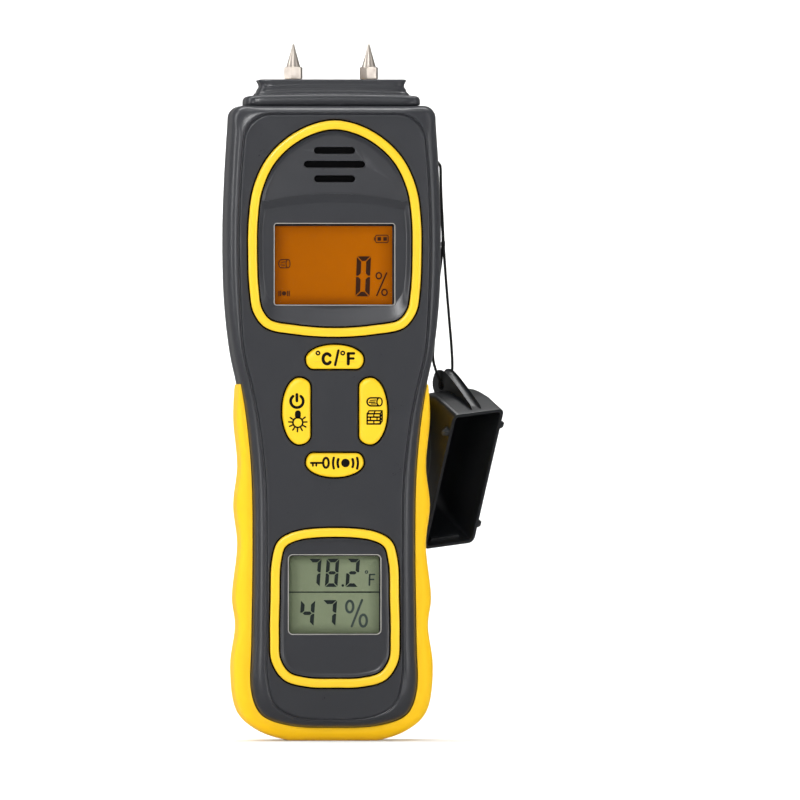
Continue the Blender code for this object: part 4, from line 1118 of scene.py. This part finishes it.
def cover_shell():
    """The hanging pin cover: straight walls, rounded closed end, cord fin, nubs and an inner rib."""
    outside = [
        (9.8, 25.4, 2.0, 0), (9.94, 25.54, 2.1, 0.06), (10.0, 25.6, 2.2, 0.25), (9.98, 25.58, 2.2, 2.0),
        (9.9, 25.45, 2.1, 8.5),
        (9.82, 25.2, 2.2, 10.5), (9.78, 24.85, 2.4, 13), (9.66, 24.2, 2.7, 15.6), (9.4, 23.1, 3.2, 18.2),
        (8.95, 21.5, 3.9, 20.4), (8.3, 19.6, 4.5, 22.1), (7.4, 17.8, 4.8, 23.2),
        (6.3, 16.2, 4.8, 23.8), (5.2, 14.6, 4.2, 24.0),
    ]
    inside = [
        (9.0, 24.6, 1.1, 0), (8.86, 24.46, 1.0, 0.05), (8.78, 24.38, 1.0, 0.2),
        (8.7, 24.3, 1.0, 1.2), (8.6, 24.2, 1.1, 5),
        (8.6, 24.1, 1.5, 9), (8.5, 23.3, 2.2, 13.5), (8.2, 21.7, 3.0, 17), (7.6, 19.4, 3.6, 20),
        (6.6, 17.4, 3.9, 21.8),
        (5.2, 15.2, 3.6, 22.6),
    ]
    loops = []
    for half_x, half_y, corner, depth in outside[::-1] + inside:
        loops.append([cap_place(x, y, depth) for x, y in rounded_rectangle(half_x, half_y, corner, 7)])
    cover = skin("cover_shell", loops)
    fin = smooth(
        [(-24.9, 2.4), (-25.4, 3.2), (-25.9, 5.6), (-26.9, 10.4), (-28.0, 17.6), (-27.9, 21.2), (-26.5, 23.6),
         (-24.2, 24.4), (-21.8, 23.9), (-20.2, 21.6), (-21.6, 16.6), (-24.0, 11.6), (-24.8, 6)],
        4, (-24.8, 3), (-25.0, 1.6))
    fin = [tuple(p) for p in fin[:-1]]
    levels = ((-1.75, -1.1), (-1.66, -0.6), (-1.4, -0.25), (-1.0, -0.04), (-0.5, 0.02),
              (0.5, 0.02), (1.0, -0.04), (1.4, -0.25), (1.66, -0.6), (1.75, -1.1))
    additions = [skin("fin", [[cap_place(x, *p) for p in offset(fin, grow)] for x, grow in levels])]
    for side, along in ((-1, -18.3), (-1, 19.4), (1, -18.3), (1, 19.4)):
        nub = [(side * 9.2, 0.1), (side * 10.3, 0.2), (side * 11.6, 0.6), (side * 12.1, 1.2),
               (side * 11.7, 2.0),
               (side * 9.4, 3.8)]
        stations = ((-1.9, 0.45), (-1.5, 0.75), (-0.9, 1.0), (0.3, 1.0), (0.8, 0.85), (1.2, 0.55))
        loops = []
        for y, share in stations:
            loops.append([cap_place(side * 9.2 + (x - side * 9.2) * share, along + y,
                                    2 + (d - 2) * share) for x, d in nub])
        additions.append(skin("nub", loops))
    rib = [(-5.6, 24.6), (-5.6, 23.5), (-5.4, 23.35), (5.0, 23.35), (5.2, 23.5), (5.2, 24.6)]
    loops = [[cap_place(x, y, depth) for x, y in rib] for depth in (2.4, 3.5)]
    additions.append(skin("rib", loops))
    _, along, depth = CAP_HOLE
    flare = [(0, -4), (1.9, -4), (1.6, -1.6), (1.3, -1.2), (1.2, -0.8), (1.2, 0.8), (1.3, 1.2), (1.6, 1.6),
             (1.9, 4), (0, 4)]
    cutters = [turned("fin_hole", flare, cap_place(*CAP_HOLE), CAP_ACROSS, 32)]
    recess = [(p[0], p[1]) for p in ellipse(0, 0, 13.5, 5.2)[:-1]]
    loops = []
    for x, grow in ((-11.5, 0.8), (-9.75, 0.15), (-9.5, -0.3), (-9.3, -1.2)):
        loops.append([cap_place(x, 2 + u * (1 + grow / 13.5), 11.5 + v * (1 + grow / 5.2)) for u,
                      v in recess])
    cutters.append(skin("finger_recess", loops))
    return carve(cover, cutters, additions, sharp=40)


RIGHT_STRAND = [
    (37.05, 16.5, 182), (37.3, 15.8, 174), (37.6, 15.6, 168), (37.9, 15.6, 161), (38.9, 16.2, 147.5),
    (39.9, 16.8, 136), (40.6, 17.2, 128), (40.9, 17.4, 121.5),
]
LEFT_STRAND = [
    (32.6, 16.95, 183), (34.9, 17.0, 179.5), (36.7, 16.95, 175.5), (37.4, 16.85, 169), (37.75, 16.8, 163),
    (37.3, 16.7, 157), (36.2, 16.3, 148.5), (35.1, 15.8, 138), (34.7, 15.5, 130), (34.5, 15.3, 123.5),
]
EYE_BEND = 2.4
LOOP_BEND = 2.4


def cord_route():
    """Out of the eye on the right, down to the pin cover, through its fin and back up to the eye."""
    hole = cap_place(*CAP_HOLE)
    up = Vector((0, 0, 1))
    right = Vector((1, 0, 0))
    eye_turn = [math.radians(a) for a in (12, 40, 70, 90)]
    out = [EYE + right * EYE_BEND * math.sin(a) - up * EYE_BEND * (1 - math.cos(a)) for a in eye_turn]
    back = [EYE - right * EYE_BEND * math.sin(a) - up * EYE_BEND * (1 - math.cos(a)) for a in eye_turn]
    loop = []
    for angle in [math.radians(a) for a in range(15, 166, 25)]:
        loop.append(hole + CAP_ACROSS * LOOP_BEND * math.cos(angle) + up * LOOP_BEND * (1 - math.sin(angle)))
    route = out + [Vector(p) for p in RIGHT_STRAND] + loop + [Vector(p) for p in reversed(LEFT_STRAND)]
    route += back[::-1]
    return smooth(route, 5, route[0] * 2 - route[1], route[-1] * 2 - route[-2])


def round_cord(name, points, radius, around=6):
    curve = bpy.data.curves.new(name, "CURVE")
    curve.dimensions = "3D"
    curve.bevel_depth = radius * MM
    curve.bevel_resolution = around
    curve.use_fill_caps = True
    spline = curve.splines.new("POLY")
    spline.points.add(len(points) - 1)
    for place, point in zip(spline.points, points):
        place.co = (*(Vector(point) * MM), 1)
    thing = bpy.data.objects.new(name, curve)
    bpy.context.scene.collection.objects.link(thing)
    return thing


def cord_knot():
    """Thin thread bound tight round both strands."""
    centre = Vector((37.8, 16.2, 161.5))
    points = []
    for i in range(73):
        turn = 2 * math.pi * 3 * i / 72
        drop = -0.6 + 1.2 * i / 72
        points.append(centre + Vector((0.55 * math.cos(turn), 1.12 * math.sin(turn), drop)))
    return round_cord("cord_knot", points, 0.2)


# ---------------------------------------------------------------- back, battery and screws


def inset_rectangle(view, corner, grow):
    """A rounded rectangle grown or shrunk on every side, whose corners never turn inside out."""
    half, low, high = view
    return rectangle((half + grow, low - grow, high + grow), max(corner + grow, 0.12))


def back_door():
    half, low, high = DOOR
    levels = [(14.8, 0), (16.65, 0), (16.85, -0.06), (16.96, -0.2), (17.0, -0.45), (17.0, -1.4)]
    door = skin("back_door", [at_y(inset_rectangle(DOOR, 0.5, grow), y) for y, grow in levels])
    tabs = [block("tab", (x - 2.4, x + 2.4), (13.2, 15.2), (low - 0.8, low + 1.4), 0.25) for x in (-10, 10)]
    grooves = []
    for i in range(4):
        z = high - 8.4 + i * 1.7
        right = ellipse(6.5 - 0.4, z, 0.4, 0.4, -90, 90, 6)
        outline = right + [(-x, h) for x, h in reversed(right)]
        grooves.append(slab("groove", outline, [(16.5, -0.15), (16.7, 0), (16.95, 0.05), (18, 0.3)]))
    arrow = [(-1.6, high - 11.8), (1.6, high - 11.8), (0, high - 10.2)]
    grooves.append(slab("arrow", arrow, [(16.6, 0), (18, 0)]))
    return carve(door, grooves, tabs)


def back_pad():
    edge = rectangle(PAD, 0.6)
    loops = [at_y(offset(edge, 1.8), 12.8), at_y(offset(edge, 1.8), 14.5), at_y(edge, 14.5)]
    for y, grow in ((17.15, 0), (17.45, -0.08), (17.66, -0.28), (17.77, -0.55), (17.8, -0.9), (17.8, -2.0)):
        loops.append(at_y(inset_rectangle(PAD, 0.6, grow), y))
    return skin("back_pad", loops)


def battery_can():
    half = 13.25
    loops = []
    levels = [(15.0, -0.9), (15.1, -0.4), (15.4, -0.1), (15.8, 0), (60.2, 0), (60.6, -0.1), (60.9, -0.4),
              (61.0, -0.9), (60.75, -1.1), (60.7, -1.6)]
    for z, grow in levels:
        outline = rounded_rectangle(half + grow, 8.75 + grow, 2.2 + grow * 0.5, 6)
        loops.append([(x, 3.55 + y, z) for x, y in outline])
    return skin("battery_can", loops)


def battery_studs():
    small = [(0, 60.6), (2.9, 60.6), (2.9, 62.4), (2.5, 63.0), (1.9, 63.2), (0, 63.2)]
    wide = [(0, 60.6), (4.1, 60.6), (4.1, 61.2), (3.3, 61.5), (3.3, 62.3), (4.2, 63.0), (3.6, 63.2),
            (0, 63.2)]
    found = []
    for name, x, profile in (("small_stud", -6.4, small), ("wide_stud", 6.4, wide)):
        found.append(turned(name, profile, (x, 3.5, 0), (0, 0, 1), 36))
    return found


def foam_block():
    outline = rectangle((10, 24, 56), 1.0)
    levels = [(12.7, -0.9), (12.78, -0.45), (13.0, -0.12), (13.4, 0.0), (14.0, 0.02), (14.5, 0)]
    return slab("foam_block", outline, levels, 60)


def case_screw(number, x, z):
    head = 12.9
    profile = [(0, 0), (0.7, 0), (1.3, 1.2), (1.3, head), (2.7, head), (2.7, head + 1.1), (2.55, head + 1.45),
               (2.1, head + 1.8), (1.4, head + 1.97), (0, head + 2.0)]
    screw = turned(f"screw_{number}", profile, (x, -8.6, z), (0, 1, 0), 36)
    drive = []
    for wide, tall in ((1.5, 0.34), (0.34, 1.5)):
        drive.append(block("drive", (x - wide, x + wide), (5.3, 8), (z - tall, z + tall), 0.12))
    return carve(screw, drive)


# ---------------------------------------------------------------- assembly

finish_piece(front_shell(), "housing", "case_grey", case_grey, "front_cover")
finish_piece(rear_shell(), "housing", "case_grey", case_grey, "rear_cover")
finish_piece(head_block(), "housing", "case_grey", case_grey, "pin_block")
finish_piece(soft_grip(), "housing", "grip_yellow", grip_yellow, "grip_overmould")
finish_piece(trim_ring("upper_ring", UPPER_RING), "housing", "trim_yellow", trim_yellow, "upper_trim_ring")
finish_piece(trim_ring("lower_ring", LOWER_RING), "housing", "trim_yellow", trim_yellow, "lower_trim_ring")
for needle_side, needle_x in (("left", -PIN_X), ("right", PIN_X)):
    finish_piece(needle(f"{needle_side}_needle", needle_x), "housing", "nickel_steel", nickel,
                 f"{needle_side}_pin")
printed = key_marks()
for key_name in KEYS:
    finish_piece(key_top(key_name), f"{key_name}_button", "key_yellow", key_yellow, f"{key_name}_key")
    finish_piece(printed[key_name], f"{key_name}_button", "key_yellow", print_black)
    # A black ring at the bottom of each key's gap: painted shade.
    key_shade = shade_ring_sheet(f"{key_name}_key_gap_shade", key_outline(key_name, 0.03), key_outline(key_name, 0.62), -15.9)
    finish_piece(key_shade, "housing", "black_rubber", shade_black)
# Black rings at the bottom of the trim rings' gaps: painted shade.
for ring_name, ring_line in (("upper", UPPER_RING), ("lower", LOWER_RING)):
    for edge_name, start in (("outer", RING_GAP), ("inner", -RING_WIDTH)):
        gap_shade = shade_ring_sheet(f"{ring_name}_ring_{edge_name}_seal", offset(ring_line, start - RING_GAP),
                        offset(ring_line, start), -16.2)
        finish_piece(gap_shade, "housing", "black_rubber", shade_black)
# A black sheet behind the sound slots: painted shade inside them.
slot_shade = marks("slot_shade_sheet", [(rounded_at(0, 187, 12.5, 7, 1),)], -14.68, 0.1)
finish_piece(slot_shade, "housing", "black_rubber", shade_black)
for figures, ink in zip((*upper_figures(), *lower_figures()),
                        (lcd_ink, lcd_ink_faint, grey_ink, grey_ink_faint)):
    finish_piece(figures, "housing", "amber_display" if "upper" in figures.name else "grey_display", ink)
# Pale rings round both windows: painted highlights of their edges.
for edge in (window_highlight("upper_window_highlight", UPPER_VIEW, 0.7, FIELD_Y),
             window_highlight("lower_window_highlight", LOWER_VIEW, 1.3, FACE_Y + 0.55)):
    finish_piece(edge, "housing", "clear_window", window_highlight_grey)

# Black frames inside both windows, widest at the top and right: painted shadow of the window edges on the
# displays.
finish_piece(painted_shadow_frame("upper_shadow_frame", UPPER_VIEW, (0.25, 0.55, 0.1, 0.7)), "housing", "black_plastic",
             part_black)
finish_piece(painted_shadow_frame("lower_shadow_frame", LOWER_VIEW, (0.25, 0.3, 0.1, 0.3)), "housing", "black_plastic",
             part_black)

cover = finish_piece(cover_shell(), "cap", "cap_black", cap_black, "pin_cap")
route = cord_route()
hang_cord = finish_piece(round_cord("hang_cord", route, CORD_R), "lanyard", "cord_black", cord_black,
                         "lanyard_cord")
knot = finish_piece(cord_knot(), "lanyard", "cord_black", cord_black)

finish_piece(back_door(), "door", "case_grey", case_grey, "battery_door")
finish_piece(back_pad(), "housing", "black_plastic", pad_black, "sensor_pad")
finish_piece(battery_can(), "housing", "battery_can", can_lacquer, "battery")
for stud in battery_studs():
    finish_piece(stud, "housing", "battery_can", nickel)
foam = finish_piece(foam_block(), "door", "foam_grey", foam_grey, "door_foam_pad")
for screw_number, (screw_x, screw_z) in enumerate(SCREWS, start=1):
    finish_piece(case_screw(screw_number, screw_x, screw_z), "housing", "screw_steel", zinc,
                 f"case_screw_{screw_number}")

KEPT_NODES = {
    clear_window: ["upper_display_window", "lower_display_window"],
    amber_film: ["upper_lcd"],
    grey_film: ["lower_lcd"],
    part_white: ["upper_backlight", "lower_lcd_spacer", "left_pin_lead", "right_pin_lead", "sensor_lead"],
    part_black: ["upper_zebra_strip", "lower_zebra_strip", "buzzer", "battery_snap",
                 "unit_switch", "power_switch", "material_switch", "hold_switch"],
    sensor_dark: ["humidity_sensor"],
    board_green: ["main_board"],
    brass: ["left_pin_socket", "right_pin_socket"],
    copper: ["sensor_electrode"],
    wire_red: ["red_battery_lead"],
    wire_black: ["black_battery_lead"],
}
for kept_look, kept in KEPT_NODES.items():
    for node_name in kept:
        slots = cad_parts[node_name].data.materials
        slots.clear()
        slots.append(kept_look)

# ---------------------------------------------------------------- studio

VIEW_YAW = math.radians(4.36)
VIEW_MIDDLE = (22.4, 110.5)  # across and up, in the camera's own directions
VIEW_WIDTH = 260.0
VIEW_DISTANCE = 6000.0
SENSOR = 36.0
FLOOR_HALF = 2500
WALL_RADIUS = 9000


def studio_surface():
    """Floor and backdrop in one pale sweep."""
    profile = [(-7000, 0), (500, 0)]
    for i in range(1, 13):
        angle = math.pi / 2 * i / 12
        profile.append((500 + 500 * math.sin(angle), 500 - 500 * math.cos(angle)))
    profile.append((1000, 2600))
    vertices = []
    for y, z in profile:
        vertices += [(-FLOOR_HALF, y, z), (FLOOR_HALF, y, z)]
    faces = [(2 * i, 2 * i + 1, 2 * i + 3, 2 * i + 2) for i in range(len(profile) - 1)]
    sweep = mesh_object("studio_sweep", vertices, faces, 60)
    if sweep.data.polygons[0].normal.z < 0:
        sweep.data.flip_normals()
    paper = bpy.data.materials.new("studio paper")
    paper.use_nodes = True
    shader = paper.node_tree.nodes["Principled BSDF"]
    shader.inputs["Base Color"].default_value = (0.93, 0.93, 0.93, 1)
    shader.inputs["Roughness"].default_value = 0.9
    facing = paper.node_tree.nodes.new("ShaderNodeNewGeometry")
    front_only = paper.node_tree.nodes.new("ShaderNodeMath")
    front_only.operation = "SUBTRACT"
    front_only.inputs[0].default_value = 1.0
    paper.node_tree.links.new(facing.outputs["Backfacing"], front_only.inputs[1])
    paper.node_tree.links.new(front_only.outputs["Value"], shader.inputs["Alpha"])
    sweep.data.materials.append(paper)
    sweep.visible_glossy = False


def studio_wall():
    """A pale round wall far behind everything, seen but giving no light."""
    vertices, faces, count = [], [], 48
    for i in range(count):
        angle = 2 * math.pi * i / count
        x, y = WALL_RADIUS * math.cos(angle), WALL_RADIUS * math.sin(angle)
        vertices += [(x, y, -3000), (x, y, 9000)]
        j = (i + 1) % count
        faces.append((2 * i, 2 * j, 2 * j + 1, 2 * i + 1))
    wall = mesh_object("studio_wall", vertices, faces, 60)
    pale = bpy.data.materials.new("studio wall")
    pale.use_nodes = True
    shader = pale.node_tree.nodes["Principled BSDF"]
    shader.inputs["Base Color"].default_value = (0, 0, 0, 1)
    shader.inputs["Emission Color"].default_value = (0.96, 0.96, 0.96, 1)
    shader.inputs["Emission Strength"].default_value = 1.0
    wall.data.materials.append(pale)
    wall.visible_diffuse = wall.visible_glossy = wall.visible_transmission = wall.visible_shadow = False


def soft_box(name, place, aim, size, power, colour=(1, 1, 1)):
    lamp = bpy.data.lights.new(name, "AREA")
    lamp.shape = "RECTANGLE"
    lamp.size, lamp.size_y = size
    lamp.energy = power
    lamp.color = colour
    thing = bpy.data.objects.new(name, lamp)
    thing.location = place
    thing.rotation_euler = (Vector(aim) - Vector(place)).to_track_quat("-Z", "Y").to_euler()
    bpy.context.scene.collection.objects.link(thing)


def camera():
    ahead = Vector((math.sin(VIEW_YAW), math.cos(VIEW_YAW), 0))
    right = Vector((math.cos(VIEW_YAW), -math.sin(VIEW_YAW), 0))
    across, up = VIEW_MIDDLE
    lens = bpy.data.cameras.new("camera")
    lens.sensor_width = SENSOR
    lens.lens = SENSOR * VIEW_DISTANCE / VIEW_WIDTH
    lens.clip_end = 20
    thing = bpy.data.objects.new("camera", lens)
    thing.location = (right * across + Vector((0, 0, up)) - ahead * VIEW_DISTANCE) * MM
    thing.rotation_euler = (math.pi / 2, 0, -VIEW_YAW)
    bpy.context.scene.collection.objects.link(thing)
    bpy.context.scene.camera = thing


studio_surface()
studio_wall()
camera()
MIDDLE = (0.0, 0.0, 0.11)
soft_box("key_light", (-0.3, -1.15, 0.62), MIDDLE, (0.4, 0.28), 6.6)
soft_box("fill_light", (0.85, -1.0, 0.14), (0, 0, 0.04), (0.6, 0.22), 2.2)
soft_box("side_light", (-0.9, -0.75, 0.2), MIDDLE, (0.14, 0.36), 2.0)
soft_box("left_light", (-1.05, 0.05, 0.62), MIDDLE, (0.14, 1.1), 4.5)
soft_box("right_light", (0.95, -0.5, 0.5), MIDDLE, (0.1, 0.9), 1.1)
soft_box("top_light", (0.0, -0.3, 1.0), MIDDLE, (0.8, 0.25), 1.8)
soft_box("backdrop_light", (0.0, 0.45, 1.6), (0, 1.0, 0.2), (2.0, 0.4), 26)
world = bpy.data.worlds.new("studio")
world.use_nodes = True
world.node_tree.nodes["Background"].inputs["Color"].default_value = (1, 1, 1, 1)
world.node_tree.nodes["Background"].inputs["Strength"].default_value = 0.22
bpy.context.scene.world = world
bpy.context.scene.view_settings.view_transform = "Standard"
